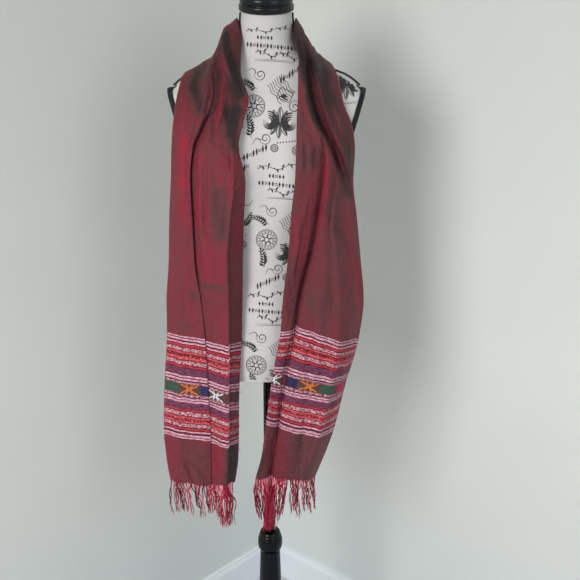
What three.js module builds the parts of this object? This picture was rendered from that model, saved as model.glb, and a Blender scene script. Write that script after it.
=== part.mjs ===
// A fringed scarf hung round the neck of a limbless dress form on a turned stand.
// Units are millimetres, +Z is up, the front faces -Y, and the origin is on the
// floor at the middle of the round base, under the stand's axis.
import * as THREE from 'three';

// ---------------------------------------------------------------- sizes
// stand
const BASE_R = 220, BASE_H = 26;            // round base
const POLE_R = 12.6, POLE_BOTTOM = 498.6;   // steel pole between column and body
const BULB_Z = 468, BULB_R = 28;            // turned bulb at the column's top
// dress form body
const BODY_BOTTOM = 899, NECK_TOP = 1616;
const NECK_TILT = 15 * Math.PI / 180;       // the neck is cut off sloping forwards
const CAP_R = 53, CAP_RIM = 12, CAP_H = 33;         // cap with a groove over its rim
const SHOULDER_X = 193, SHOULDER_Z = 1470;  // outer end of the shoulder line
const ARM_SLOPE = 0.316;                    // armhole plate leans in by this much per mm down
const ARM_T = 10;                           // armhole plate thickness
const ARM_LOW = 1336, ARM_HIGH = 1482;
const BUST = { x: 86, z: 1288, out: 26, wide: 40, up: 72, down: 46 };
const PIPE_R = 2.1;                         // piping along the seams
const GAP = 0.3, PIPE_GAP = 0.7;            // clearances between touching pieces, and under the piping
// scarf
const WALL = 1.4;                           // cloth wall
const LAYER = 5, LAYER_LOW = 2.4;           // spacing of folded layers, at the chest and below the hip
const PLEAT = 13;                           // depth of the lengthwise pleat on the left
const TURN_UNDER = 28;                      // inner edge folded back behind
const GROOVE = 11;                          // depth of the groove on the right
const S_CREST = 940, S_BACK = 1140;         // section numbers at shoulder crest and centre back
const FRINGE_T = 7;                         // thickness of the fringe's solid

// body sections: height, half width, depth in front, depth behind, squareness
const BODY = rows('z half front back n', [
  [ 899, 160, 110, 117, 2.3], [ 912, 162, 112, 119, 2.3], [ 948, 163, 113, 122, 2.3],
  [1002, 152, 108, 110, 2.3], [1058, 131, 100,  90, 2.3], [1122, 117,  92,  76, 2.3],
  [1175, 121,  94,  78, 2.3], [1240, 132,  99,  86, 2.3], [1290, 139, 103,  93, 2.3],
  [1335, 141, 103,  99, 2.3], [1352, 160, 101, 102, 2.3], [1385, 190,  96, 104, 2.3],
  [1425, 206,  84, 104, 2.3], [1455, 206,  72, 100, 2.3], [1469, 187,  65,  96, 2.3], [1476, 179.2, 62, 94, 2.3],
  [1483, 171.3, 59, 92, 2.3], [1489, 163.3, 56.5, 90, 2.3], [1496, 151.3, 54, 88, 2.3],
  [1503, 132.5, 52.5, 85, 2.3], [1510, 117, 51, 82, 2.3],
  [1523, 93, 49, 76, 2.2], [1535,  75,  50,  71, 2.1], [1549,  62,  50,  66, 2.0],
  [1570,  53,  51,  60, 2.0], [1595,  48.5, 50, 55, 2.0], [1616,  47,  49,  52, 2.0],
]);

// scarf sections from the hem (s = 0) to the centre back (s = 1140): where the
// outer edge, the pleat's lip, the inner crease and the inner edge lie
const COLS = 's outX outY outZ lipX lipY lipZ creX creY creZ inX inY inZ';
const LEFT = rows(COLS, [
  [   0, -205, -100,  676, -118, -120,  675,  -84, -134,  680,  -69, -116,  681],
  [  55, -212,  -98,  730, -117, -120,  728,  -80, -136,  729,  -62, -114,  728],
  [ 106, -215,  -96,  781, -116, -120,  777,  -78, -137,  772,  -60, -112,  769],
  [ 215, -210,  -94,  889, -118, -119,  884,  -76, -138,  879,  -57, -121,  874],
  [ 325, -201,  -90, 1001, -122, -118,  996,  -73, -139,  992,  -51, -118,  988],
  [ 392, -200,  -86, 1064, -128, -116, 1067,  -73, -139, 1067,  -48, -113, 1064],
  [ 482, -193,  -80, 1148, -139, -113, 1152,  -74, -139, 1154,  -46, -112, 1150],
  [ 572, -190,  -72, 1232, -141, -110, 1235,  -67, -140, 1236,  -42, -122, 1236],
  [ 650, -185,  -65, 1307, -143, -106, 1307,  -59, -138, 1305,  -38, -127, 1306],
  [ 715, -182,  -63, 1364, -137, -102, 1363,  -60, -127, 1363,  -50, -121, 1369],
  [ 768, -177,  -62, 1411, -116, -104, 1408,  -62, -110, 1409,  -40, -110, 1416],
  [ 815, -170,  -57, 1454, -100,  -95, 1448,  -61,  -92, 1449,  -32,  -93, 1455],
  [ 858, -164,  -40, 1483,  -95,  -76, 1487,  -67,  -68, 1500,  -48,  -76, 1504],
  [900, -162, -12, 1496.5, -98, -32, 1520, -73, -34, 1548, -49, -42, 1562],
  [940, -158, 8, 1501.5, -106, 8, 1530.5, -80, 6, 1580, -60, 6, 1602],
  [1010, -130,   79, 1486,  -97,   60, 1536,  -70,   44, 1570,  -55,   34, 1596],
  [1075,  -62,  112, 1458,  -51,   94, 1514,  -40,   73, 1559,  -33,   58, 1591],
  [1140,    0,  121, 1442,    0,  106, 1502,    0,   82, 1553,    0,   68, 1588],
]);
const RIGHT = rows(COLS.replace(/lip/g, 'rid').replace(/cre/g, 'gro'), [
  [   0,   98,  -84,  675,   72, -132,  692,    4, -114,  687,  -26, -124,  691],
  [  55,  111,  -82,  708,   90, -132,  734,   10, -114,  746,  -12, -126,  747],
  [ 106,  136,  -80,  781,  104, -133,  789,   20, -114,  802,   -3, -127,  816],
  [ 215,  160,  -76,  884,  125, -134,  890,   34, -127,  910,   10, -130,  915],
  [ 325,  185,  -74,  983,  141, -136,  995,   56, -123, 1024,   28, -131, 1022],
  [392, 193, -72, 1056, 142, -133, 1061, 64, -118, 1080, 32, -131, 1079],
  [482, 185, -68, 1146, 137, -126, 1147, 83, -120, 1160, 42, -132, 1160],
  [572, 176, -62, 1230, 127, -120, 1231, 97, -124, 1242, 48, -134, 1246],
  [650, 168, -58, 1302, 136, -106, 1304, 106, -126, 1310, 55, -134, 1311],
  [715, 170, -62, 1356, 134, -96, 1355, 108, -118, 1365, 57, -126, 1366],
  [768, 163, -70, 1404, 130, -93, 1404, 101, -104, 1415, 58, -114, 1416],
  [ 815,  147,  -70, 1443,  116,  -83, 1447,   85,  -88, 1460,   60,  -97, 1461],
  [ 858,  138,  -50, 1485,  106,  -62, 1496,   76,  -68, 1508,   60,  -78, 1510],
  [900, 132, -20, 1506, 98, -24, 1529, 74, -34, 1555, 54, -46, 1567],
  [940, 127, 10, 1516.5, 93, 10, 1542, 71, 6, 1582, 60, 6, 1602],
  [1010,  130,   79, 1486,   97,   60, 1536,   70,   44, 1570,   55,   34, 1596],
  [1075,   62,  112, 1458,   51,   94, 1514,   40,   73, 1559,   33,   58, 1591],
  [1140,    0,  121, 1442,    0,  106, 1502,    0,   82, 1553,    0,   68, 1588],
]);
// where the fourteen control lines of a section lie between the four named ones
// (0 outer edge, 1 lip, 2 crease, 3 inner edge) once the folds have opened out
const OPEN = [0, 0.35, 0.7, 0.86, 0.95, 1.05, 1.15, 1.3, 1.6, 2.0, 2.5, 3.0];
// how far each corner of a section is rounded off
const ROUND_LEFT  = [0, 24, 20, 2.5, 2.5, 2.5, 2.5, 6, 14, 3.5, 12, 2.5, 2.5, 0];
const ROUND_RIGHT = [0, 16,  4,  16,  20,  16,   4, 4,  4, 6,  6, 2.5, 2.5, 0];
const ROUND_OPEN  = [0, 30, 30,  30,  30,  30,  30, 30, 30, 30, 30, 2.5, 2.5, 0];

// ---------------------------------------------------------------- helpers
function rows(names, table) {
  const keys = names.split(' ');
  return table.map(r => Object.fromEntries(keys.map((k, i) => [k, r[i]])));
}
const lerp = (a, b, t) => a + (b - a) * t;
const clamp = (x, a, b) => Math.min(b, Math.max(a, x));
const smooth = (a, b, x) => { const t = clamp((x - a) / (b - a), 0, 1); return t * t * (3 - 2 * t); };
const add = (a, b, k = 1) => [a[0] + b[0] * k, a[1] + b[1] * k, a[2] + b[2] * k];
const sub = (a, b) => [a[0] - b[0], a[1] - b[1], a[2] - b[2]];
const mix = (a, b, t) => [lerp(a[0], b[0], t), lerp(a[1], b[1], t), lerp(a[2], b[2], t)];
const len = a => Math.hypot(a[0], a[1], a[2]);
const unit = a => { const l = len(a) || 1; return [a[0] / l, a[1] / l, a[2] / l]; };
const cross = (a, b) => [a[1] * b[2] - a[2] * b[1], a[2] * b[0] - a[0] * b[2], a[0] * b[1] - a[1] * b[0]];

// monotone cubic through table columns
function curve(xs, ys) {
  const n = xs.length, h = [], d = [], m = new Array(n).fill(0);
  for (let i = 0; i < n - 1; i++) { h[i] = xs[i + 1] - xs[i]; d[i] = (ys[i + 1] - ys[i]) / h[i]; }
  for (let i = 1; i < n - 1; i++) {
    if (d[i - 1] * d[i] > 0) {
      const w1 = 2 * h[i] + h[i - 1], w2 = h[i] + 2 * h[i - 1];
      m[i] = (w1 + w2) / (w1 / d[i - 1] + w2 / d[i]);
    }
  }
  m[0] = d[0]; m[n - 1] = d[n - 2];
  return x => {
    x = clamp(x, xs[0], xs[n - 1]);
    let i = n - 2; while (i > 0 && x < xs[i]) i--;
    const t = (x - xs[i]) / h[i];
    return (1 + 2 * t) * (1 - t) ** 2 * ys[i] + t * (1 - t) ** 2 * h[i] * m[i]
      + t * t * (3 - 2 * t) * ys[i + 1] + t * t * (t - 1) * h[i] * m[i + 1];
  };
}
const columns = (table, key) => Object.fromEntries(
  Object.keys(table[0]).filter(k => k !== key).map(k => [k, curve(table.map(r => r[key]), table.map(r => r[k]))]));

function geometry(points, tris) {
  let v = 0;
  for (const [a, b, c] of tris) {
    const [p, q, r] = [points[a], points[b], points[c]];
    v += p[0] * (q[1] * r[2] - q[2] * r[1]) - p[1] * (q[0] * r[2] - q[2] * r[0]) + p[2] * (q[0] * r[1] - q[1] * r[0]);
  }
  if (v < 0) tris = tris.map(([a, b, c]) => [a, c, b]);
  const g = new THREE.BufferGeometry();
  g.setAttribute('position', new THREE.Float32BufferAttribute(points.flat(), 3));
  g.setIndex(tris.flat());
  g.computeVertexNormals();
  return g;
}
// a stack of closed rings with flat ends
function rings(list) {
  const n = list[0].length, pts = list.flat(), tris = [];
  for (let i = 0; i < list.length - 1; i++) for (let j = 0; j < n; j++) {
    const a = i * n + j, b = i * n + (j + 1) % n, c = a + n, d = b + n;
    tris.push([a, b, d], [a, d, c]);
  }
  for (const [i, flip] of [[0, true], [list.length - 1, false]]) {
    const r = list[i], mid = r.reduce((s, p) => add(s, p, 1 / n), [0, 0, 0]), k = pts.length;
    pts.push(mid);
    for (let j = 0; j < n; j++) {
      const a = i * n + j, b = i * n + (j + 1) % n;
      tris.push(flip ? [k, b, a] : [k, a, b]);
    }
  }
  return geometry(pts, tris);
}
// a grid of points given a wall on both sides of it, along its own normals or one direction
function shell(grid, wall, along = null) {
  const R = grid.length, C = grid[0].length, at = (i, j) => grid[clamp(i, 0, R - 1)][clamp(j, 0, C - 1)];
  const side = [[], []];
  for (let i = 0; i < R; i++) for (let j = 0; j < C; j++) {
    const n = along ?? unit(cross(sub(at(i + 1, j), at(i - 1, j)), sub(at(i, j + 1), at(i, j - 1))));
    side[0].push(add(at(i, j), n, wall / 2)); side[1].push(add(at(i, j), n, -wall / 2));
  }
  const N = R * C, pts = side[0].concat(side[1]), tris = [];
  for (let i = 0; i < R - 1; i++) for (let j = 0; j < C - 1; j++) {
    const a = i * C + j, b = a + 1, c = a + C, d = c + 1;
    tris.push([a, b, d], [a, d, c], [a + N, d + N, b + N], [a + N, c + N, d + N]);
  }
  const rim = [];
  for (let j = 0; j < C - 1; j++) rim.push([j, j + 1]);
  for (let i = 0; i < R - 1; i++) rim.push([i * C + C - 1, (i + 1) * C + C - 1]);
  for (let j = C - 1; j > 0; j--) rim.push([(R - 1) * C + j, (R - 1) * C + j - 1]);
  for (let i = R - 1; i > 0; i--) rim.push([i * C, (i - 1) * C]);
  for (const [a, b] of rim) tris.push([b, a, a + N], [b, a + N, b + N]);
  return geometry(pts, tris);
}
// a round tube through points, closed at both ends
function tube(path, radius, sides = 8) {
  const list = path.map((p, i) => {
    const t = unit(sub(path[Math.min(i + 1, path.length - 1)], path[Math.max(i - 1, 0)]));
    const u = unit(cross(t, [0, 1, 0])), v = cross(t, u);
    return Array.from({ length: sides }, (_, k) => {
      const a = 2 * Math.PI * k / sides;
      return add(add(p, u, radius * Math.cos(a)), v, radius * Math.sin(a));
    });
  });
  return rings(list);
}

// ---------------------------------------------------------------- dress form
const body = columns(BODY, 'z');
const armX = z => SHOULDER_X - (SHOULDER_Z - z) * ARM_SLOPE;             // plate's outer face
const armCut = z => (z > ARM_LOW && z < ARM_HIGH ? armX(z) - ARM_T - GAP : 1e9);
const arc = (x, z) => clamp(1 - (Math.abs(x) / body.half(z)) ** body.n(z), 0, 1) ** (1 / body.n(z));
function bust(x, z) {
  const dz = z - BUST.z, s = dz > 0 ? BUST.up : BUST.down;
  return BUST.out * Math.exp(-((Math.abs(x) - BUST.x) ** 2) / (2 * BUST.wide ** 2) - dz * dz / (2 * s * s));
}
const frontY = (x, z) => -(body.front(z) * arc(x, z) + bust(x, z) * Math.min(1, arc(x, z) * 1.5));
const backY = (x, z) => body.back(z) * arc(x, z);
function bodyRing(z) {
  const a = body.half(z), cut = Math.min(armCut(z), 0.985 * a), ring = [];
  const nArc = 15, nSide = 3;
  const lean = Math.tan(NECK_TILT) * smooth(1560, NECK_TOP, z);
  for (let i = 0; i < nArc; i++) { const x = -cut * Math.cos(Math.PI * i / nArc); ring.push([x, frontY(x, z)]); }
  const side = (sgn, from, to) => {
    for (let i = 0; i < nSide; i++) {
      const y = lerp(from, to, i / nSide), d = y < 0 ? body.front(z) : body.back(z);
      const x = a * clamp(1 - (Math.abs(y) / d) ** body.n(z), 0, 1) ** (1 / body.n(z));
      ring.push([sgn * (i ? Math.max(cut, Math.min(x, armCut(z))) : cut), y]);
    }
  };
  side(1, frontY(cut, z), backY(cut, z));
  for (let i = 0; i < nArc; i++) { const x = cut * Math.cos(Math.PI * i / nArc); ring.push([x, backY(x, z)]); }
  side(-1, backY(cut, z), frontY(cut, z));
  return ring.map(([x, y]) => [x, y, z + y * lean]);
}
const bodyHeights = [899, 915, 948, 985, 1030, 1075, 1122, 1165, 1210, 1250, 1290, 1315, 1335, 1337, 1346, 1360, 1382,
  1410, 1435, 1457, 1470, 1476, 1483, 1489, 1496, 1503, 1510, 1523, 1535, 1549, 1570, 1593, 1616];

// armhole plate: an oval slice that closes the cut of the body
function armPlate(sgn) {
  const n = 11, outline = [], lean = Math.hypot(1, ARM_SLOPE);
  const zs = Array.from({ length: n }, (_, i) => lerp(1338, 1469, 0.5 - 0.5 * Math.cos(Math.PI * i / (n - 1))));
  for (const z of zs) outline.push([frontY(armX(z) - ARM_T - GAP, z), (z - SHOULDER_Z) * lean]);
  for (const z of [...zs].reverse()) outline.push([backY(armX(z) - ARM_T - GAP, z), (z - SHOULDER_Z) * lean]);
  const cy = (1338 + 1469) / 2 - SHOULDER_Z;
  const place = ([y, w], grow, depth) => {
    const k = 1 + grow / 62, yy = y * k, ww = cy * lean + (w - cy * lean) * (w > cy * lean ? 1 + grow * 0.8 / 32 : k);
    const x = SHOULDER_X + ww / lean * ARM_SLOPE + depth / lean, z = SHOULDER_Z + ww / lean - depth / lean * ARM_SLOPE;
    return [sgn * x, yy, z];
  };
  const t = ARM_T / Math.hypot(1, ARM_SLOPE);
  return rings([[0, -t], [1.6, -t + 1.2], [1.6, -1.6], [0, 0]].map(([g, d]) => outline.map(p => place(p, g, d))));
}
const seamLine = (sgn, zs) => zs.map(z => {
  const e = 2, dx = (body.half(z + e) - body.half(z - e)) / (2 * e), n = unit([1, 0, -dx]);
  return [sgn * (body.half(z) + n[0] * (PIPE_R + PIPE_GAP)), 0, z + n[2] * (PIPE_R + PIPE_GAP)];
});

// ---------------------------------------------------------------- scarf
const tables = { '-1': columns(LEFT, 's'), '1': columns(RIGHT, 's') };
function controls(side, s) {
  const c = tables[side], key = side < 0 ? ['out', 'lip', 'cre', 'in'] : ['out', 'rid', 'gro', 'in'];
  const [O, L, S, I] = key.map(k => [c[k + 'X'](s), c[k + 'Y'](s), c[k + 'Z'](s)]);
  const radial = unit([L[0], L[1] - 4, 0]);
  const n = unit(mix([0, -1, 0], [radial[0], radial[1], 0.45], smooth(790, S_CREST, s)));   // outwards
  const open = smooth(880, 1040, s), out = unit(sub(O, L)), inw = unit(sub(I, S));
  const bulge = 1 - 0.85 * smooth(740, 860, s), fold = [];
  if (side < 0) {
    const p = PLEAT * (1 - 0.4 * smooth(700, S_CREST, s));
    const lay = LAYER_LOW + (LAYER - LAYER_LOW) * smooth(390, 470, s) * (1 - smooth(700, 800, s));
    const L2 = add(L, n, -lay), R1 = add(L2, out, p), R2 = add(R1, n, -lay);
    fold.push(O, add(mix(O, L, 0.38), n, 7 * bulge), add(mix(O, L, 0.74), n, 5 * bulge), L, L2, R1, R2);
    const E = add(add(L, n, -1.9 * lay), unit(sub(S, L)), 7);
    fold.push(E, add(mix(E, S, 0.5), n, 4 * bulge), S, mix(S, I, 0.55), I);
  } else {
    const g = GROOVE * (1 - 0.8 * smooth(500, 680, s));
    fold.push(O, add(mix(O, L, 0.5), n, 4 * bulge), L);
    const Gr = add(S, unit(sub(L, S)), 7), Gl = add(S, inw, 6), G = add(S, n, -g);
    fold.push(add(mix(L, Gr, 0.25), n, -3 * bulge), add(mix(L, Gr, 0.5), n, 2 * bulge), add(mix(L, Gr, 0.78), n, 3 * bulge), Gr, G, Gl);
    fold.push(add(mix(Gl, I, 0.35), n, 2 * bulge), add(mix(Gl, I, 0.7), n, 2 * bulge), I);
  }
  const named = [O, L, S, I];
  const flat = OPEN.map(u => { const i = Math.min(2, Math.floor(u)); return mix(named[i], named[i + 1], u - i); });
  const pts = fold.map((p, k) => mix(p, flat[k], open));
  const I2 = add(I, n, -LAYER * 0.9);
  pts.push(I2, add(add(I2, inw, -lerp(TURN_UNDER, 12, smooth(700, S_CREST, s))), n, -1.5));
  const rl = side < 0 ? ROUND_LEFT : ROUND_RIGHT;
  return { pts, round: rl.map((r, k) => lerp(r, ROUND_OPEN[k], open)) };
}
function section(side, s) {
  const { pts, round } = controls(side, s), out = [pts[0]];
  for (let k = 1; k < pts.length - 1; k++) {
    const a = sub(pts[k - 1], pts[k]), b = sub(pts[k + 1], pts[k]);
    const ra = Math.min(round[k], 0.46 * len(a)), rb = Math.min(round[k], 0.46 * len(b));
    const A = add(pts[k], unit(a), ra), B = add(pts[k], unit(b), rb);
    out.push(A, B);
  }
  out.push(pts[pts.length - 1]);
  return out;
}
const steps = (a, b, n) => Array.from({ length: n + 1 }, (_, i) => lerp(a, b, i / n));
const frontSections = [0, 55, 106, 160, 215, 270, 325, 392, 450, 510, 572, 625, 670, 715, 768, 795, 825, 858, 879, 900, 918,
  S_CREST - 1.6];
// fringe: a plain slab of its reach hanging from the hem
function fringe(side, drop) {
  const c = tables[side], key = side < 0 ? ['out', 'lip', 'cre', 'in'] : ['out', 'rid', 'gro', 'in'];
  const top = key.map(k => [c[k + 'X'](0), c[k + 'Y'](0), c[k + 'Z'](0)]);
  const seg = [[0, 0], [0, 0.5], [1, 0], [1, 0.5], [2, 0], [2, 1]];
  const line = seg.map(([i, t]) => mix(top[i], top[i + 1], t));
  const low = Math.min(...key.map(k => c[k + 'Z'](0))) - 4.5;
  const mid = line.reduce((a, p) => a + p[0] / line.length, 0);
  const level = (z, grow) => line.map(p => [mid + (p[0] - mid) * grow, p[1] + 2, z]);
  return shell([level(low, 0.97), level(low - drop * 0.5, 0.97), level(low - drop, 0.9)], FRINGE_T, [0, 1, 0]);
}

// ---------------------------------------------------------------- the object
const object = new THREE.Group();
const look = (color, roughness, metalness = 0) => new THREE.MeshStandardMaterial({ color, roughness, metalness });
const silk = look(0x7a2430, 0.55), thread = look(0xa31c3c, 0.7), linen = look(0xd9d4cf, 0.9);
const trim = look(0x15161a, 0.75), gloss = look(0x14161a, 0.3), steel = look(0x17181c, 0.4, 0.2);
function piece(name, geom, material) {
  const m = new THREE.Mesh(geom, material);
  m.name = name;
  object.add(m);
  return m;
}

piece('stand_base', new THREE.LatheGeometry([
  [0, 0], [BASE_R - 4, 0], [BASE_R, 4], [BASE_R, 14], [BASE_R - 5, 20], [BASE_R - 18, 23], [60, BASE_H + 4], [44, BASE_H + 14], [0, BASE_H + 14],
].map(([r, z]) => new THREE.Vector2(r, z)), 48), gloss).rotation.x = Math.PI / 2;
const columnProfile = rows('z r', [
  [BASE_H + 14 + GAP, 34], [62, 33], [78, 24], [110, 22], [150, 26.5], [230, 29], [300, 27.8], [366, 25.3], [449, 22.4],
  [452, 24.2], [458, 27.0], [BULB_Z, BULB_R], [477, 27.4], [482, 26], [484, 24.5], [486, 25.1], [489, 23.3], [491, 23.5], [496, 21.4], [498, 18],
]);
piece('stand_column', new THREE.LatheGeometry([
  new THREE.Vector2(0, columnProfile[0].z), ...columnProfile.map(p => new THREE.Vector2(p.r, p.z)), new THREE.Vector2(0, 498),
], 32), gloss).rotation.x = Math.PI / 2;
const pole = piece('stand_pole', new THREE.CylinderGeometry(POLE_R, POLE_R, BODY_BOTTOM - GAP - POLE_BOTTOM, 24), steel);
pole.rotation.x = Math.PI / 2;
pole.position.z = (BODY_BOTTOM - GAP + POLE_BOTTOM) / 2;

piece('form_torso', rings(bodyHeights.map(bodyRing)), linen);
const cap = piece('form_neck_cap', new THREE.LatheGeometry([
  [0, 0], [CAP_R, 0], [CAP_R, CAP_RIM - 2], [CAP_R - 2, CAP_RIM], [CAP_R - 3.5, CAP_RIM + 0.5], [CAP_R - 3.5, CAP_RIM + 2], [CAP_R - 2, CAP_RIM + 3.5],
  [CAP_R - 2.5, CAP_H - 9], [CAP_R - 6, CAP_H - 5], [CAP_R - 15, CAP_H - 1.5], [CAP_R - 30, CAP_H], [0, CAP_H],
].map(([r, z]) => new THREE.Vector2(r, z)), 36), gloss);
cap.rotation.x = Math.PI / 2 + NECK_TILT;
cap.position.set(0, 0, NECK_TOP + 1.2);

for (const [sgn, word] of [[-1, 'left'], [1, 'right']]) {
  piece(`form_arm_plate_${word}`, armPlate(sgn), trim);
  piece(`form_seam_piping_${word}`, tube(seamLine(sgn, [1475, ...bodyHeights.filter(z => z > 1482), 1612].filter(z => z < NECK_TOP)), PIPE_R), trim);
  piece(`form_side_piping_${word}`, tube(seamLine(sgn, [901, ...bodyHeights.filter(z => z > 901 && z < ARM_LOW - 10)]), PIPE_R), trim);
  piece(`scarf_${word}_front`, shell(frontSections.map(s => section(sgn, s)), WALL), silk);
  piece(`fringe_${word}`, fringe(sgn, sgn < 0 ? 98 : 104), thread);
}
const neckSections = steps(S_CREST, S_BACK, 9);
piece('scarf_neck_back', shell([
  ...neckSections.map(s => section(-1, s)),
  ...neckSections.slice(0, -1).reverse().map(s => section(1, s)),
], WALL), silk);

export default object;
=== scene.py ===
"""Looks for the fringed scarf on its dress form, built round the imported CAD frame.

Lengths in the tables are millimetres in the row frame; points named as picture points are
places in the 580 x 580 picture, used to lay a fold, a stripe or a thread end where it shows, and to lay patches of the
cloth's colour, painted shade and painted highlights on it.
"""
import math
import random

import bpy
import numpy as np
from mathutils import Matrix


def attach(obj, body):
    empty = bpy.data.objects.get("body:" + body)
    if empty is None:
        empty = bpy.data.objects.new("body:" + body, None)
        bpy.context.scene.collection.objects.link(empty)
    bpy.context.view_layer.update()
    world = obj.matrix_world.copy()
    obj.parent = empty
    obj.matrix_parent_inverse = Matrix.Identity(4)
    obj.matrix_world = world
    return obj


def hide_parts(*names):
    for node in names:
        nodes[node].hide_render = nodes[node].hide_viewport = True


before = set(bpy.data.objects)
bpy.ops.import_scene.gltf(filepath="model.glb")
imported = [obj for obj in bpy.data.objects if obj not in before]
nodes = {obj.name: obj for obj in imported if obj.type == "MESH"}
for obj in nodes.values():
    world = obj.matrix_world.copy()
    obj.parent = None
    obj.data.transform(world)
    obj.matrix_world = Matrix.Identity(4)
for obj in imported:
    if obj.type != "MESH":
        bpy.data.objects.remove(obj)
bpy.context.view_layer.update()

# ------------------------------------------------------------------ sizes, as in the CAD
BASE_R, BASE_H = 220, 26
POLE_R, POLE_BOTTOM = 12.6, 498.6
BODY_BOTTOM, NECK_TOP = 899, 1616
NECK_TILT = math.radians(15)
CAP_R, CAP_RIM, CAP_H = 53, 12, 33
SHOULDER_X, SHOULDER_Z, ARM_SLOPE, ARM_T, ARM_LOW, ARM_HIGH = 193, 1470, 0.316, 10, 1336, 1482
BUST = dict(x=86, z=1288, out=26, wide=40, up=72, down=46)
PIPE_R, GAP = 1.7, 0.3
CLOTH, LAYER, LAYER_LOW, PLEAT, TURN_UNDER, GROOVE = 0.8, 3.4, 1.7, 13, 28, 11
S_CREST, S_BACK = 940, 1140

BODY = np.array([  # height, half width, depth in front, depth behind, squareness
    [899, 160, 110, 117, 2.3], [912, 162, 112, 119, 2.3], [948, 163, 113, 122, 2.3],
    [1002, 152, 108, 110, 2.3], [1058, 131, 100, 90, 2.3], [1122, 117, 92, 76, 2.3],
    [1175, 121, 94, 78, 2.3], [1240, 132, 99, 86, 2.3], [1290, 139, 103, 93, 2.3],
    [1335, 141, 103, 99, 2.3], [1352, 160, 101, 102, 2.3], [1385, 190, 96, 104, 2.3],
    [1425, 206, 84, 104, 2.3], [1455, 206, 72, 100, 2.3], [1469, 187, 65, 96, 2.3], [1476, 179.2, 62, 94, 2.3],
    [1483, 171.3, 59, 92, 2.3], [1489, 163.3, 56.5, 90, 2.3], [1496, 151.3, 54, 88, 2.3],
    [1503, 132.5, 52.5, 85, 2.3], [1510, 117, 51, 82, 2.3],
    [1523, 93, 49, 76, 2.2], [1535, 75, 50, 71, 2.1], [1549, 62, 50, 66, 2.0],
    [1570, 53, 51, 60, 2.0], [1595, 48.5, 50, 55, 2.0], [1616, 47, 49, 52, 2.0]], float)
# s, then outer edge, pleat lip (ridge on the right), inner crease (groove), inner edge
LEFT = np.array([
    [0, -205, -100, 676, -118, -120, 675, -84, -134, 680, -69, -116, 681],
    [55, -212, -98, 730, -117, -120, 728, -80, -136, 729, -62, -114, 728],
    [106, -215, -96, 781, -116, -120, 777, -78, -137, 772, -60, -112, 769],
    [215, -210, -94, 889, -118, -119, 884, -76, -138, 879, -57, -121, 874],
    [325, -201, -90, 1001, -122, -118, 996, -73, -139, 992, -51, -118, 988],
    [392, -200, -86, 1064, -128, -116, 1067, -73, -139, 1067, -48, -113, 1064],
    [482, -193, -80, 1148, -139, -113, 1152, -74, -139, 1154, -46, -112, 1150],
    [572, -190, -72, 1232, -141, -110, 1235, -67, -140, 1236, -42, -122, 1236],
    [650, -185, -65, 1307, -143, -106, 1307, -59, -138, 1305, -38, -127, 1306],
    [715, -182, -63, 1364, -137, -102, 1363, -60, -127, 1363, -50, -121, 1369],
    [768, -177, -62, 1411, -116, -104, 1408, -62, -110, 1409, -40, -110, 1416],
    [815, -170, -57, 1454, -100, -95, 1448, -61, -92, 1449, -32, -93, 1455],
    [858, -164, -40, 1483, -95, -76, 1487, -67, -68, 1500, -48, -76, 1504],
    [900, -162, -12, 1496.5, -98, -32, 1520, -73, -34, 1548, -49, -42, 1562],
    [940, -158, 8, 1501.5, -106, 8, 1530.5, -80, 6, 1584, -57, 6, 1602],
    [1010, -130, 79, 1486, -97, 60, 1536, -70, 44, 1570, -55, 34, 1596],
    [1075, -62, 112, 1458, -51, 94, 1514, -40, 73, 1559, -33, 58, 1591],
    [1140, 0, 121, 1442, 0, 106, 1502, 0, 82, 1553, 0, 68, 1588]], float)
RIGHT = np.array([
    [0, 98, -84, 675, 72, -132, 692, 4, -114, 687, -26, -124, 691],
    [55, 111, -82, 708, 90, -132, 734, 10, -114, 746, -12, -126, 747],
    [106, 136, -80, 781, 104, -133, 789, 20, -114, 802, -3, -127, 816],
    [215, 160, -76, 884, 125, -134, 890, 34, -127, 910, 10, -130, 915],
    [325, 185, -74, 983, 141, -136, 995, 56, -123, 1024, 28, -131, 1022],
    [392, 193, -72, 1056, 142, -133, 1061, 64, -118, 1080, 32, -131, 1079],
    [482, 185, -68, 1146, 137, -126, 1147, 83, -120, 1160, 42, -132, 1160],
    [572, 176, -62, 1230, 127, -120, 1231, 97, -124, 1242, 48, -134, 1246],
    [650, 168, -58, 1302, 136, -106, 1304, 106, -126, 1310, 55, -134, 1311],
    [715, 170, -62, 1356, 134, -96, 1355, 108, -118, 1365, 57, -126, 1366],
    [768, 163, -70, 1404, 130, -93, 1404, 101, -104, 1415, 58, -114, 1416],
    [815, 147, -70, 1443, 116, -83, 1447, 85, -88, 1460, 60, -97, 1461],
    [858, 138, -50, 1485, 106, -62, 1496, 76, -68, 1508, 60, -78, 1510],
    [900, 132, -20, 1506, 98, -24, 1529, 74, -34, 1555, 53, -46, 1567],
    [940, 127, 10, 1516.5, 93, 10, 1542, 71, 6, 1582, 57, 6, 1602],
    [1010, 130, 79, 1486, 97, 60, 1536, 70, 44, 1570, 55, 34, 1596],
    [1075, 62, 112, 1458, 51, 94, 1514, 40, 73, 1559, 33, 58, 1591],
    [1140, 0, 121, 1442, 0, 106, 1502, 0, 82, 1553, 0, 68, 1588]], float)
OPEN = [0, 0.35, 0.7, 0.86, 0.95, 1.05, 1.15, 1.3, 1.6, 2.0, 2.5, 3.0]
ROUND_LEFT = [0, 24, 20, 2.5, 2.5, 2.5, 2.5, 6, 14, 3.5, 12, 2.5, 2.5, 0]
ROUND_RIGHT = [0, 16, 4, 16, 20, 16, 4, 4, 4, 6, 6, 2.5, 2.5, 0]
ROUND_OPEN = [0, 30, 30, 30, 30, 30, 30, 30, 30, 30, 30, 2.5, 2.5, 0]
# columns of the cloth's grid: points in each straight run, and round each corner
RUNS = [16, 12, 12, 6, 10, 6, 10, 12, 12, 10, 10, 3, 12]
BENDS = [9] * 12
COLUMNS = 149

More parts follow.
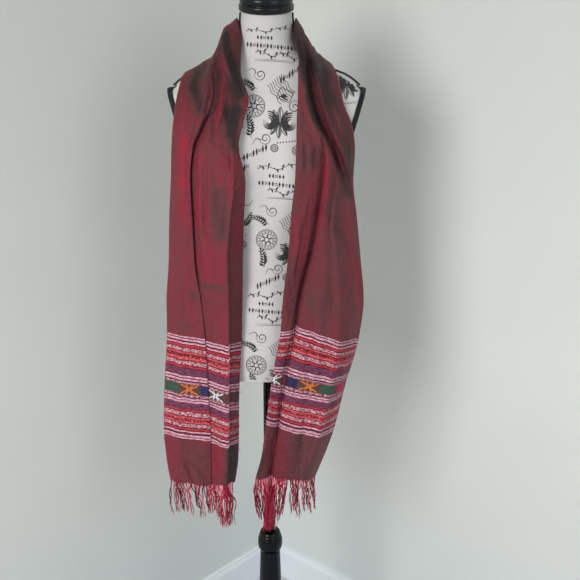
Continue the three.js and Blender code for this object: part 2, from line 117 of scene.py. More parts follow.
# ------------------------------------------------------------------ small tools
rng = random.Random(11)


def pchip(xs, ys):
    xs, ys = np.asarray(xs, float), np.asarray(ys, float)
    n = len(xs)
    h = np.diff(xs)
    d = np.diff(ys) / h
    m = np.zeros(n)
    for i in range(1, n - 1):
        if d[i - 1] * d[i] > 0:
            w1, w2 = 2 * h[i] + h[i - 1], h[i] + 2 * h[i - 1]
            m[i] = (w1 + w2) / (w1 / d[i - 1] + w2 / d[i])
    m[0], m[-1] = d[0], d[-1]

    def f(x):
        x = np.clip(np.asarray(x, float), xs[0], xs[-1])
        i = np.clip(np.searchsorted(xs, x, side="right") - 1, 0, n - 2)
        t = (x - xs[i]) / h[i]
        return ((1 + 2 * t) * (1 - t) ** 2 * ys[i] + t * (1 - t) ** 2 * h[i] * m[i]
                + t * t * (3 - 2 * t) * ys[i + 1] + t * t * (t - 1) * h[i] * m[i + 1])
    return f


def smooth(a, b, x):
    t = np.clip((np.asarray(x, float) - a) / (b - a), 0, 1)
    return t * t * (3 - 2 * t)


def unit(v):
    v = np.asarray(v, float)
    return v / np.maximum(np.linalg.norm(v, axis=-1, keepdims=True), 1e-9)


def lerp(a, b, t):
    return a + (b - a) * t


# the camera, in the row frame: shoulder height, looking 15 degrees down
CAM = np.array([45.3, -1617.0, 1495.0])
PITCH, FOCAL_PX = math.radians(15), 800.0
CP, SP = math.cos(PITCH), math.sin(PITCH)


def seen(p):
    """Picture points of places in mm."""
    d = np.asarray(p, float) - CAM
    depth = d[..., 1] * CP - d[..., 2] * SP
    up = d[..., 1] * SP + d[..., 2] * CP
    return np.stack([290 + FOCAL_PX * d[..., 0] / depth, 290 - FOCAL_PX * up / depth], -1)


def place(px, py, y):
    """The place in mm at depth y that shows at a picture point."""
    a, b = (px - 290) / FOCAL_PX, (py - 290) / FOCAL_PX
    t = (y - CAM[1]) / (CP - b * SP)
    return np.array([CAM[0] + a * t, y, CAM[2] + t * (-SP - b * CP)])


def mesh_object(name, points, faces, material, smooth_shade=True, ride=True):
    me = bpy.data.meshes.new(name)
    me.from_pydata([tuple(p) for p in np.asarray(points, float) / 1000.0], [], faces)
    me.validate()
    me.update()
    if smooth_shade:
        me.polygons.foreach_set("use_smooth", [True] * len(me.polygons))
    ob = bpy.data.objects.new(name, me)
    bpy.context.scene.collection.objects.link(ob)
    if material is not None:
        me.materials.append(material)
    if ride:
        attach(ob, "root")
    return ob


def grid_faces(rows, cols, start=0, wrap=False, flip=False):
    out = []
    for i in range(rows - 1):
        for j in range(cols if wrap else cols - 1):
            a, b = start + i * cols + j, start + i * cols + (j + 1) % cols
            out.append((a, b, b + cols, a + cols) if not flip else (b, a, a + cols, b + cols))
    return out


# ------------------------------------------------------------------ node helper
class Look:
    def __init__(self, name):
        self.mat = bpy.data.materials.new(name)
        self.mat.use_nodes = True
        self.t = self.mat.node_tree
        self.t.nodes.clear()
        self.out = self.t.nodes.new("ShaderNodeOutputMaterial")
        self.bsdf = self.t.nodes.new("ShaderNodeBsdfPrincipled")
        self.t.links.new(self.bsdf.outputs[0], self.out.inputs[0])

    def put(self, socket, value):
        if value is None:
            return
        if isinstance(value, bpy.types.NodeSocket):
            self.t.links.new(value, socket)
        elif hasattr(socket, "default_value"):
            if isinstance(value, (tuple, list)) and len(value) == 3 and socket.type == "RGBA":
                value = (*value, 1)
            socket.default_value = value

    def set(self, **kw):
        for k, v in kw.items():
            self.put(self.bsdf.inputs[k.replace("_", " ")], v)
        return self.mat

    def math(self, op, a, b=None, c=None, clamp=False):
        n = self.t.nodes.new("ShaderNodeMath")
        n.operation, n.use_clamp = op, clamp
        for s, v in zip(n.inputs, (a, b, c)):
            self.put(s, v)
        return n.outputs[0]

    def mix(self, f, a, b, blend="MIX"):
        n = self.t.nodes.new("ShaderNodeMix")
        n.data_type, n.blend_type, n.clamp_factor = "RGBA", blend, True
        self.put(n.inputs[0], f)
        self.put(n.inputs[6], a)
        self.put(n.inputs[7], b)
        return n.outputs[2]

    def range(self, v, a, b, c=0.0, d=1.0):
        n = self.t.nodes.new("ShaderNodeMapRange")
        n.interpolation_type = "SMOOTHSTEP"
        for s, x in zip(n.inputs, (v, a, b, c, d)):
            self.put(s, x)
        return n.outputs[0]

    def xyz(self, x, y, z=0.0):
        n = self.t.nodes.new("ShaderNodeCombineXYZ")
        for s, v in zip(n.inputs, (x, y, z)):
            self.put(s, v)
        return n.outputs[0]

    def split(self, v):
        n = self.t.nodes.new("ShaderNodeSeparateXYZ")
        self.put(n.inputs[0], v)
        return n.outputs[0], n.outputs[1], n.outputs[2]

    def attr(self, name, out="Fac"):
        n = self.t.nodes.new("ShaderNodeAttribute")
        n.attribute_name = name
        return n.outputs[out]

    def coords(self, which="Object"):
        return self.t.nodes.new("ShaderNodeTexCoord").outputs[which]

    def noise(self, v, scale, detail=2.0, rough=0.5, out=0):
        n = self.t.nodes.new("ShaderNodeTexNoise")
        for k, x in (("Vector", v), ("Scale", scale), ("Detail", detail), ("Roughness", rough)):
            self.put(n.inputs[k], x)
        return n.outputs[out]

    def ramp(self, f, stops, kind="LINEAR"):
        n = self.t.nodes.new("ShaderNodeValToRGB")
        r = n.color_ramp
        r.interpolation = kind
        while len(r.elements) > 1:
            r.elements.remove(r.elements[-1])
        for i, (p, c) in enumerate(stops):
            e = r.elements[0] if i == 0 else r.elements.new(min(1.0, p))
            e.position = min(1.0, p)
            e.color = (*c, 1) if isinstance(c, (tuple, list)) else (c, c, c, 1)
        self.put(n.inputs[0], f)
        return n.outputs[0]

    def bump(self, height, strength, distance, normal=None):
        n = self.t.nodes.new("ShaderNodeBump")
        for k, x in (("Height", height), ("Strength", strength), ("Distance", distance), ("Normal", normal)):
            self.put(n.inputs[k], x)
        return n.outputs[0]


def srgb(r, g, b, k=1.0):
    f = lambda c: (c / 255 / 12.92) if c <= 10.3 else ((c / 255 + 0.055) / 1.055) ** 2.4
    return tuple(min(1.0, f(c) * k) for c in (r, g, b))


# ------------------------------------------------------------------ dress form body
b_half, b_front, b_back, b_n = (pchip(BODY[:, 0], BODY[:, k]) for k in (1, 2, 3, 4))


def arm_x(z):
    return SHOULDER_X - (SHOULDER_Z - z) * ARM_SLOPE


def arm_cut(z):
    return arm_x(z) - ARM_T - GAP if ARM_LOW < z < ARM_HIGH else 1e9


def arc(x, z):
    n = b_n(z)
    return np.clip(1 - (np.abs(x) / b_half(z)) ** n, 0, 1) ** (1 / n)


def bust(x, z):
    dz = z - BUST["z"]
    s = np.where(dz > 0, BUST["up"], BUST["down"])
    return BUST["out"] * np.exp(-((np.abs(x) - BUST["x"]) ** 2) / (2 * BUST["wide"] ** 2) - dz * dz / (2 * s * s))


def front_y(x, z):
    a = arc(x, z)
    return -(b_front(z) * a + bust(x, z) * np.minimum(1, a * 1.5))


def back_y(x, z):
    return b_back(z) * arc(x, z)


def body_ring(z, n_arc=64, n_side=12, lift=0.0):
    a = float(b_half(z))
    cut = min(arm_cut(z), 0.985 * a)
    lean = math.tan(NECK_TILT) * float(smooth(1560, NECK_TOP, z))
    ring = []
    for i in range(n_arc):
        x = -cut * math.cos(math.pi * i / n_arc)
        ring.append((x, float(front_y(x, z))))

    def side(sgn, y0, y1):
        for i in range(n_side):
            y = lerp(y0, y1, i / n_side)
            d, n = float(b_front(z) if y < 0 else b_back(z)), float(b_n(z))
            x = a * max(0.0, 1 - (abs(y) / d) ** n) ** (1 / n)
            ring.append((sgn * (max(cut, min(x, arm_cut(z))) if i else cut), y))
    side(1, float(front_y(cut, z)), float(back_y(cut, z)))
    for i in range(n_arc):
        x = cut * math.cos(math.pi * i / n_arc)
        ring.append((x, float(back_y(x, z))))
    side(-1, float(back_y(cut, z)), float(front_y(cut, z)))
    return [(x, y, z + y * lean) for x, y in ring]


# ------------------------------------------------------------------ scarf sheet
TABLES = {-1: [pchip(LEFT[:, 0], LEFT[:, k]) for k in range(1, 13)],
          1: [pchip(RIGHT[:, 0], RIGHT[:, k]) for k in range(1, 13)]}


def section(side, s):
    """One row across the cloth: its points, each point's place on the control line, and the outward direction."""
    v = [float(f(s)) for f in TABLES[side]]
    O, L, S, I = (np.array(v[k:k + 3]) for k in (0, 3, 6, 9))
    radial = unit([L[0], L[1] - 4, 0])
    k = float(smooth(790, S_CREST, s))
    n = unit(lerp(np.array([0, -1.0, 0]), np.array([radial[0], radial[1], 0.45]), k))
    opened = float(smooth(805, 965, s)) if side < 0 else float(smooth(880, 1040, s))
    out, inw = unit(O - L), unit(I - S)
    flat = 1 - .85 * float(smooth(740, 860, s))
    if side < 0:
        p = PLEAT * (1 - 0.4 * float(smooth(700, S_CREST, s)))
        lay = LAYER_LOW + (LAYER - LAYER_LOW) * float(smooth(390, 470, s)) * (1 - float(smooth(700, 800, s)))
        L2 = L - n * lay
        R1 = L2 + out * p
        R2 = R1 - n * lay
        E = L - n * 1.9 * lay + unit(S - L) * 7
        fold = [O, lerp(O, L, .38) + n * 7 * flat, lerp(O, L, .74) + n * 5 * flat, L, L2, R1, R2, E,
                lerp(E, S, .5) + n * 4 * flat, S, lerp(S, I, .55), I]
    else:
        g = GROOVE * (1 - .8 * float(smooth(500, 680, s)))
        Gr, Gl, G = S + unit(L - S) * 7, S + inw * 6, S - n * g
        fold = [O, lerp(O, L, .5) + n * 4 * flat, L, lerp(L, Gr, .25) - n * 3 * flat, lerp(L, Gr, .5) + n * 2 * flat,
                lerp(L, Gr, .78) + n * 3 * flat, Gr, G, Gl, lerp(Gl, I, .35) + n * 2 * flat, lerp(Gl, I, .7) + n * 2 * flat, I]
    named = [O, L, S, I]
    pts = []
    for f, u in zip(fold, OPEN):
        i = min(2, int(u))
        pts.append(lerp(f, lerp(named[i], named[i + 1], u - i), opened))
    I2 = I - n * LAYER * 0.9
    pts += [I2, I2 - inw * lerp(TURN_UNDER, 12, float(smooth(700, S_CREST, s))) - n * 1.5]
    rl = ROUND_LEFT if side < 0 else ROUND_RIGHT
    rnd = [lerp(r, ROUND_OPEN[i], opened) for i, r in enumerate(rl)]
    # rounded line
    line, mark, prev = [pts[0]], [0.0], pts[0]
    for i in range(1, 13):
        a, b = pts[i - 1] - pts[i], pts[i + 1] - pts[i]
        la, lb = np.linalg.norm(a), np.linalg.norm(b)
        ra, rb = min(rnd[i], .46 * la), min(rnd[i], .46 * lb)
        A, B = pts[i] + a / max(la, 1e-9) * ra, pts[i] + b / max(lb, 1e-9) * rb
        m = RUNS[i - 1]
        for q in range(1, m + 1):
            t = q / (m + 1)
            line.append(lerp(prev, A, t))
            mark.append(i - 1 + lerp(.2 if i > 1 else 0, .8, t))
        m = BENDS[i - 1]
        for q in range(m):
            t = q / (m - 1)
            line.append((1 - t) ** 2 * A + 2 * t * (1 - t) * pts[i] + t * t * B)
            mark.append(i + lerp(-.2, .2, t))
        prev = B
    m = RUNS[12]
    for q in range(1, m + 2):
        t = q / (m + 1)
        line.append(lerp(prev, pts[13], t))
        mark.append(12 + lerp(.2, 1, t))
    return np.array(line), np.array(mark), n


def line_distance(q, pts):
    """For picture points q: distance to a polyline in px, which side (+ right of it, going down), share along."""
    pts = np.asarray(pts, float)
    seg = np.diff(pts, axis=0)
    ln = np.linalg.norm(seg, axis=1)
    start = np.concatenate([[0], np.cumsum(ln)])
    best = np.full(q.shape[:-1], 1e9)
    sign = np.ones_like(best)
    along = np.zeros_like(best)
    for i in range(len(seg)):
        w = q - pts[i]
        t = np.clip((w @ seg[i]) / ln[i] ** 2, 0, 1)
        d = np.linalg.norm(w - t[..., None] * seg[i], axis=-1)
        c = seg[i][1] * w[..., 0] - seg[i][0] * w[..., 1]
        hit = d < best
        best = np.where(hit, d, best)
        sign = np.where(hit, np.where(c >= 0, 1.0, -1.0), sign)
        along = np.where(hit, (start[i] + t * ln[i]) / start[-1], along)
    return best, sign, along


MM_PER_PX = 2.05
# Folds: picture points down the fold, width on its left and right in mm, height in mm (minus is a trough)
FOLDS = [
    ([(235, 17), (229, 23), (224, 31), (220, 43)], 5, 5, 3.5),
    # left front: the collar's turned edge, and the ridges running down from it
    ([(233, 18), (230, 29), (228.5, 37), (229, 45), (232, 53), (234.5, 64), (238, 74), (240, 85)], 2.5, 7, -6),
    ([(231, 20), (227, 29), (225.5, 38), (226, 50), (229, 62), (233, 76), (238, 88), (243, 98)], 5, 3.5, 5),
    ([(222, 44), (217, 56), (215, 72), (209, 90), (205, 105), (203, 118), (198, 132)], 12, 3.5, 8),
    ([(222, 60), (220, 75), (218, 90), (215.5, 105), (212.5, 114)], 3.5, 3.5, -3),
    ([(226.5, 52), (226, 72), (224, 85), (221.5, 98), (220, 110), (219.5, 126)], 3, 14, 8),
    ([(202, 60), (196, 85), (202, 100), (201, 114)], 7, 7, -5),
    ([(217, 103), (214, 112), (208, 116), (203, 123), (199, 133), (195, 142), (192, 155)], 2.2, 8, -4),
    ([(214, 64), (205, 92), (195, 118), (187, 150)], 12, 3.5, 3.5),
    ([(187, 92), (184, 125), (184, 160), (184, 210)], 7, 5, 4),
    ([(209.5, 113), (211, 124), (213.5, 140)], 3, 3, -4),
    ([(224, 108), (218, 122), (216, 138)], 6, 4, 3.5),
    ([(210, 140.5), (217, 145.5), (225, 147.5)], 2, 2.6, -2.6),
    ([(221, 152), (227, 156), (233, 162)], 2, 2.6, -2.4),
    ([(234, 98.5), (241, 102), (248, 108)], 2.4, 6, 3.6),
    ([(228, 112), (236, 120), (241, 128)], 7, 7, -3),
    ([(199.5, 150), (200, 190), (201, 236), (205, 280)], 4, 6, 3.6),
    ([(204.5, 158), (205, 200), (204, 240)], 3, 3, -2),
    ([(210, 150), (210, 190), (207, 228), (212, 252)], 4, 10, 3),
    ([(222, 160), (223, 200), (221, 238)], 12, 6, 2.6),
    ([(208, 236), (214, 240), (222, 244)], 3, 3, -1.8),
    ([(180, 200), (178, 260), (180, 330)], 14, 12, 3),
    ([(174, 190), (173, 260), (172, 320)], 5, 7, 2.6),
    ([(185, 262), (189, 284), (191, 306)], 4, 8, 2),
    ([(199, 288), (203, 330), (206, 380), (207, 430), (206, 470)], 10, 8, 2.5),
    ([(221, 300), (221, 360), (221, 430)], 8, 8, -1.8),
    ([(184.5, 463), (189, 473), (194.5, 485)], 4, 2.2, -3.6),
    ([(186.5, 460), (198, 468.5), (209, 481)], 6, 2.5, -3),
    ([(187, 452.5), (197, 455), (208, 460)], 7, 3, -2.2),
    ([(176, 380), (177, 430), (180, 470)], 12, 12, 2.5),
    ([(216, 448), (219, 462), (225, 478)], 5, 5, 2.4),
    # right front: the deep slanting fold between two ridges
    ([(298.5, 35), (301, 55), (304, 75), (308, 96), (314, 116), (320, 130), (327, 146), (335, 166), (344, 188)], 14, 3.2, 11),
    ([(303, 52), (308, 66), (310.5, 85), (315, 105), (320, 122), (326, 133), (331, 144), (337, 162), (345, 184)], 4, 3.5, -9),
    ([(309, 52), (313, 68), (317, 84), (323, 102), (330, 125), (337, 142), (344, 158), (349, 176), (353, 190)], 2.2, 13, 11),
    ([(324, 92), (331, 112), (340, 134), (349, 156)], 6, 6, -2.4),
    ([(337, 112), (345, 134), (350, 156)], 8, 6, 3),
    ([(320, 126), (322.5, 140), (324.5, 160), (322.5, 185), (319, 207), (316, 226)], 8, 2.2, -5.5),
    ([(326, 150), (327.5, 172), (326, 196), (322, 222)], 3, 9, 4.5),
    ([(305, 124), (310, 148), (311, 176)], 7, 9, 3),
    ([(300, 100), (302, 140), (301, 180)], 6, 6, 2),
    ([(308, 196), (305, 214), (300.5, 226), (299, 246), (295.5, 262), (293.5, 284)], 8, 2.6, 3),
    ([(329, 217), (336, 225), (345, 236)], 3, 3, -2.4),
    ([(334, 227), (341, 236), (348, 247)], 3, 3, -2),
    ([(345, 205), (351, 236), (353, 262)], 6, 9, 3.5),
    ([(357.5, 240), (356, 254), (351, 280), (347, 305)], 7, 3, 4),
    ([(330, 240), (326, 280), (322, 310)], 18, 18, 3),
    ([(304, 345), (298, 400), (292, 450), (289, 476)], 14, 14, 2.5),
    ([(313, 320), (308, 380), (303, 440), (300, 474)], 7, 7, -1.8),
    ([(322, 300), (319, 340), (314, 400), (306, 460)], 9, 9, 2.2),
    ([(347, 345), (343, 370), (338, 395)], 7, 7, 2.5),
]
# Folds of the hidden stretch: s, share across (0 outer edge, 1 inner edge), half length, half width in share, height in mm
BACK_FOLDS = [
    (1000, .22, 90, .07, 4), (1120, .30, 120, .05, 5), (1090, .52, 140, .05, -2.5), (1140, .66, 90, .05, 4.5),
    (1030, .78, 80, .06, 3), (1180, .14, 90, .06, 3.5), (1230, .45, 90, .06, 3.5), (1260, .75, 70, .05, 3.5),
    (1330, .3, 70, .05, 3), (1160, .86, 60, .04, -2),
]


def crumple(u, v, seed):
    """Smooth uneven ground between 0 and 1, one lattice step per unit of u and v."""
    g = np.random.RandomState(seed).rand(257, 257)
    i, j = np.floor(u).astype(int), np.floor(v).astype(int)
    fu, fv = u - i, v - j
    fu, fv = fu * fu * fu * (fu * (fu * 6 - 15) + 10), fv * fv * fv * (fv * (fv * 6 - 15) + 10)
    at = lambda a, b: g[a % 257, b % 257]
    return lerp(lerp(at(i, j), at(i + 1, j), fu), lerp(at(i, j + 1), at(i + 1, j + 1), fu), fv)


def facing(P):
    """Outward normals of a grid of points."""
    a = np.gradient(P, axis=0)
    b = np.gradient(P, axis=1)
    n = np.cross(a, b)
    n /= np.maximum(np.linalg.norm(n, axis=2, keepdims=True), 1e-9)
    return np.where(np.mean(n[60:100, 30:60, 1]) > 0, -n, n)


def build_cloth():
    s_rows = np.concatenate([np.linspace(0, 108, 30)[:-1], np.linspace(108, 590, 55)[:-1], np.linspace(590, S_CREST, 55)[:-1],
                             np.linspace(S_CREST, S_BACK, 28)])
    # columns sit closer where the cloth turns, farther apart where it is plain
    spread = {}
    for side in (-1, 1):
        need = 0
        for s0 in (60, 215, 330, 500, 600, 680, 760, 840):
            line, mark, _ = section(side, s0)
            d = np.diff(line, axis=0)
            ln = np.linalg.norm(d, axis=1)
            t = unit(d)
            bend = np.concatenate([[0], np.arccos(np.clip((t[1:] * t[:-1]).sum(1), -1, 1))])
            need = need + ln / ln.sum() + .22 * bend / max(bend.sum(), 1e-6) + .04 / len(ln)
        total = np.concatenate([[0], np.cumsum(need)])
        spread[side] = np.interp(np.linspace(0, total[-1], COLUMNS), total, mark)
    common = (spread[-1] + spread[1]) / 2
    rows = [(-1, s) for s in s_rows] + [(1, s) for s in s_rows[::-1][1:]]
    P, M, N = [], [], []
    for side, s in rows:
        line, mark, n = section(side, s)
        m = lerp(spread[side], common, float(smooth(880, 1040, s)))
        P.append(np.stack([np.interp(m, mark, line[:, k]) for k in range(3)], 1))
        M.append(m)
        N.append(n)
    P, M, N = np.array(P), np.array(M), np.array(N)
    sides = np.array([r[0] for r in rows], float)
    S = np.array([r[1] for r in rows], float)
    # the whole cloth's running place, for what goes on round the back
    run = np.where(sides < 0, S, 2 * S_BACK - S)
    arcs = np.concatenate([np.zeros((len(P), 1)), np.cumsum(np.linalg.norm(np.diff(P, axis=1), axis=2), axis=1)], 1)
    front = 1 - smooth(900, 960, S)[:, None]
    q = seen(P)
    lift = np.zeros(M.shape)
    flat_n = facing(P)
    for pts, wl, wr, h in FOLDS:
        on = sides < 0 if np.mean([p[0] for p in pts]) < 262 else sides > 0
        d, sg, al = line_distance(q, pts)
        w = np.where(sg > 0, wr, wl)
        ends = smooth(0, .16, al) * (1 - smooth(.84, 1, al)) * .8 + .2
        lift += on[:, None] * front * ends * h * np.exp(-(d * MM_PER_PX / w) ** 2)
    across = np.clip((M - 0.0) / 11.0, 0, 1)
    for s0, u0, hs, hu, h in BACK_FOLDS:
        lift += (1 - front) * h * np.exp(-((run[:, None] - s0) / hs) ** 2 - ((across - u0) / hu) ** 2)
    # how far the folds turn the surface to the left or right; it goes into the painted light on the cloth's colour
    lie = (facing(P + lift[..., None] * N[:, None, :]) - flat_n)[..., 0]
    # a tucked layer rides with the edge over it
    show = arcs.copy()
    for i in range(len(P)):
        lo, hi = (3.0, 7.0) if sides[i] < 0 else (6.0, 8.0)
        a0, a1 = np.interp(lo, M[i], arcs[i]), np.interp(hi, M[i], arcs[i])
        show[i] = np.where(arcs[i] < a0, arcs[i], np.where(arcs[i] < a1, a0, arcs[i] - (a1 - a0)))
        turn_at = np.interp(11.2, M[i], show[i])
        show[i] = np.where(show[i] > turn_at, 2 * turn_at - show[i], show[i])
    # long gentle waves of hanging cloth and its crumpled surface, never the same twice
    r2 = np.broadcast_to(run[:, None], arcs.shape)
    lift += 1.8 * (crumple(show / 34 + 40, r2 / 190, 3) - .5) * 2
    lift += 1.2 * (crumple(show / 15 + r2 / 170 + 40, r2 / 75, 5) - .5) * 2
    rib = crumple(show / 19 + r2 / 90 + 40, r2 / 31, 8)
    lift += 1.0 * (1 - np.abs(rib * 2 - 1) * 1.6)
    rib = crumple(show / 11 - r2 / 60 + 80, r2 / 20, 9)
    lift += .5 * (1 - np.abs(rib * 2 - 1) * 1.6)
    # near the form's shoulders the cloth bears on it, so nothing goes inwards there
    near = smooth(740, 800, S)[:, None] * (1 - smooth(1100, 1141, S)[:, None] * 0)
    lift = np.where(lift < 0, lift * (1 - .75 * near), lift)
    P = P + lift[..., None] * N[:, None, :]
    # the cut ends are a little uneven
    end = np.exp(-S / 14)[:, None]
    P[..., 2] += end * (1.3 * np.sin(arcs / 17 + sides[:, None]) + .8 * np.sin(arcs / 6.3))
    return P, M, arcs, S, sides, lie


def shell_object(name, P, material, wall, uv=None, attrs=None):
    R, C = P.shape[:2]
    up = np.vstack([P[1:], P[-1:]]) - np.vstack([P[:1], P[:-1]])
    ac = np.hstack([P[:, 1:], P[:, -1:]]) - np.hstack([P[:, :1], P[:, :-1]])
    nrm = unit(np.cross(up, ac))
    pts = np.concatenate([(P + nrm * wall / 2).reshape(-1, 3), (P - nrm * wall / 2).reshape(-1, 3)])
    k = R * C
    faces = []
    idx = np.arange(k).reshape(R, C)
    a, b, c, d = idx[:-1, :-1].ravel(), idx[:-1, 1:].ravel(), idx[1:, 1:].ravel(), idx[1:, :-1].ravel()
    q1 = np.stack([a, d, c, b], 1)
    q2 = np.stack([a, b, c, d], 1) + k
    faces = q1.tolist() + q2.tolist()
    rim = [(j, j + 1) for j in range(C - 1)] + [(i * C + C - 1, (i + 1) * C + C - 1) for i in range(R - 1)]
    rim += [((R - 1) * C + j, (R - 1) * C + j - 1) for j in range(C - 1, 0, -1)] + [(i * C, (i - 1) * C) for i in range(R - 1, 0, -1)]
    faces += [(x, y, y + k, x + k) for x, y in rim]
    ob = mesh_object(name, pts, faces, material)
    me = ob.data
    vi = np.zeros(len(me.loops), np.int32)
    me.loops.foreach_get("vertex_index", vi)
    if uv is not None:
        layer = me.uv_layers.new(name="cloth")
        both = np.concatenate([uv.reshape(-1, 2)] * 2)
        layer.data.foreach_set("uv", both[vi].astype(np.float32).ravel())
    for key, val in (attrs or {}).items():
        at = me.attributes.new(key, "FLOAT", "POINT")
        at.data.foreach_set("value", np.concatenate([val.reshape(-1)] * 2).astype(np.float32))
    return ob


# Colour of the shot cloth, with painted highlights along ridges and painted shade along fold flanks: picture points,
# width in px, amount (+ crimson, - dark olive)
SHADES = [
    # left front
    ([(228.5, 38), (231, 54), (237, 72), (242, 92)], 6.5, -.3),
    ([(204, 66), (197, 100)], 11, -.2),
    ([(234, 70), (236, 90), (236, 104), (233, 120)], 5.5, -.42),
    ([(229, 22), (222, 34), (218, 50)], 4.5, -.32),
    ([(227, 450), (226, 486)], 6, -.3),
    ([(286, 452), (283, 488)], 20, .08),
    ([(322, 140), (325, 153), (327, 176)], 2.5, -.28),
    ([(311, 60), (315.5, 80), (322.5, 101), (331, 131), (340, 152)], 2.6, -.36),
    ([(236, 17), (229, 26), (225.5, 36), (225, 48), (229, 58), (233, 70), (237, 82), (241, 92)], 4.2, -.85),
    ([(222, 38), (221, 46)], 4, -.3),
    ([(235, 22), (235.5, 44), (237, 62)], 3.5, -.25),
    ([(233.5, 24), (233, 36)], 1.0, .3),
    ([(205, 58), (197, 72), (194, 86), (199, 98), (202, 110)], 7.5, -.62),
    ([(210, 56), (203, 74)], 5, -.15),
    ([(219.5, 72), (218.5, 88), (216, 104), (213, 114)], 2.6, -.35),
    ([(233, 84), (236, 92)], 6, -.3),
    ([(237, 112), (233, 124), (231, 136), (233, 146)], 7.5, -.72),
    ([(224, 106), (228, 120), (229, 134)], 5, -.35),
    ([(212, 118), (213.5, 138)], 2.2, -.3),
    ([(216.5, 58), (213, 78), (208, 96), (204.5, 116)], 2.2, .2),
    ([(225.5, 60), (224, 80), (221, 98), (220, 118)], 2.4, .25),
    ([(220.5, 98), (219.5, 118)], 2.0, .25),
    ([(246, 100), (248, 108)], 4, .45),
    ([(186, 96), (184, 120), (183, 145)], 5, .28),
    ([(184, 140), (184, 168), (184, 184)], 5.5, .62),
    ([(184, 184), (184, 210), (187, 226)], 5, .28),
    ([(194, 145), (192.5, 180), (193, 212), (196, 250)], 2.6, -.25),
    ([(201, 156), (200, 180), (198.5, 222)], 3.2, .42),
    ([(207, 130), (206, 150)], 5, -.08),
    ([(218, 192), (219, 216), (221, 236)], 8, -.5),
    ([(214, 196), (215, 220)], 5, -.15),
    ([(206, 238), (207, 262), (208.5, 282)], 3.2, .4),
    ([(236, 220), (237, 246)], 4, .2),
    ([(173.5, 140), (173.5, 240)], 4, -.2),
    ([(178, 90), (176, 104)], 4, -.12),
    ([(170, 300), (169, 330)], 4, -.15),
    ([(200, 455), (203, 480)], 9, -.35),
    ([(203, 286), (214, 287.5), (225, 289)], 3, -.55),
    ([(190, 294), (200, 297)], 3, -.3),
    ([(206, 301), (221, 302)], 2.4, -.3),
    ([(176, 322), (190, 326)], 4, -.2),
    ([(214, 246), (222, 262)], 5, .12),
    ([(233, 448), (232, 484)], 6, -.7),
    ([(180, 445), (182, 478)], 9, -.15),
    ([(219, 445), (221, 468)], 6, .35),
    # right front
    ([(294, 20), (298, 36), (302, 56), (305, 78), (309, 98), (316, 120)], 4.6, -.95),
    ([(302, 30), (313, 56), (324, 72)], 7, -.5),
    ([(316, 66), (326, 84), (332, 100)], 8, -.5),
    ([(306, 98), (310, 112), (317, 128)], 4, -.4),
    ([(299.5, 60), (300.5, 80)], 2.6, -.15),
    ([(303, 88), (306, 106), (311, 124), (316, 142)], 4.2, .32),
    ([(299, 112), (299, 140)], 3.5, -.15),
    ([(316, 132), (317, 148), (314, 164)], 6, -.22),
    ([(336, 110), (343, 128), (349, 150)], 8, -.22),
    ([(345, 156), (351, 176)], 5, -.3),
    ([(332, 134), (339, 150), (346, 168)], 2.0, .22),
    ([(300, 152), (306, 168)], 8, -.25),
    ([(318, 168), (314, 196), (311, 224), (305, 246), (301, 270)], 7, .34),
    ([(320.5, 176), (316, 210), (311.5, 244)], 2.4, -.2),
    ([(327, 172), (327, 196)], 2.8, .5),
    ([(324, 160), (325, 170)], 2.4, .3),
    ([(335, 180), (337, 210), (336, 232)], 7, -.18),
    ([(345, 204), (350, 232)], 5, .42),
    ([(296, 222), (295, 252)], 4, .3),
    ([(290, 262), (289.5, 286)], 3.6, -.3),
    ([(320, 262), (318, 300)], 14, -.12),
    ([(342, 262), (340, 296)], 6, .1),
    ([(356, 262), (358, 300)], 6, .28),
    ([(354, 240), (360, 310), (354, 340)], 5, .25),
    ([(320, 290), (318, 320)], 14, -.12),
    ([(299, 440), (298, 474)], 13, -.35),
    ([(282, 440), (280, 474)], 4, .25),
    ([(262, 455), (258, 474)], 4, -.6),
]
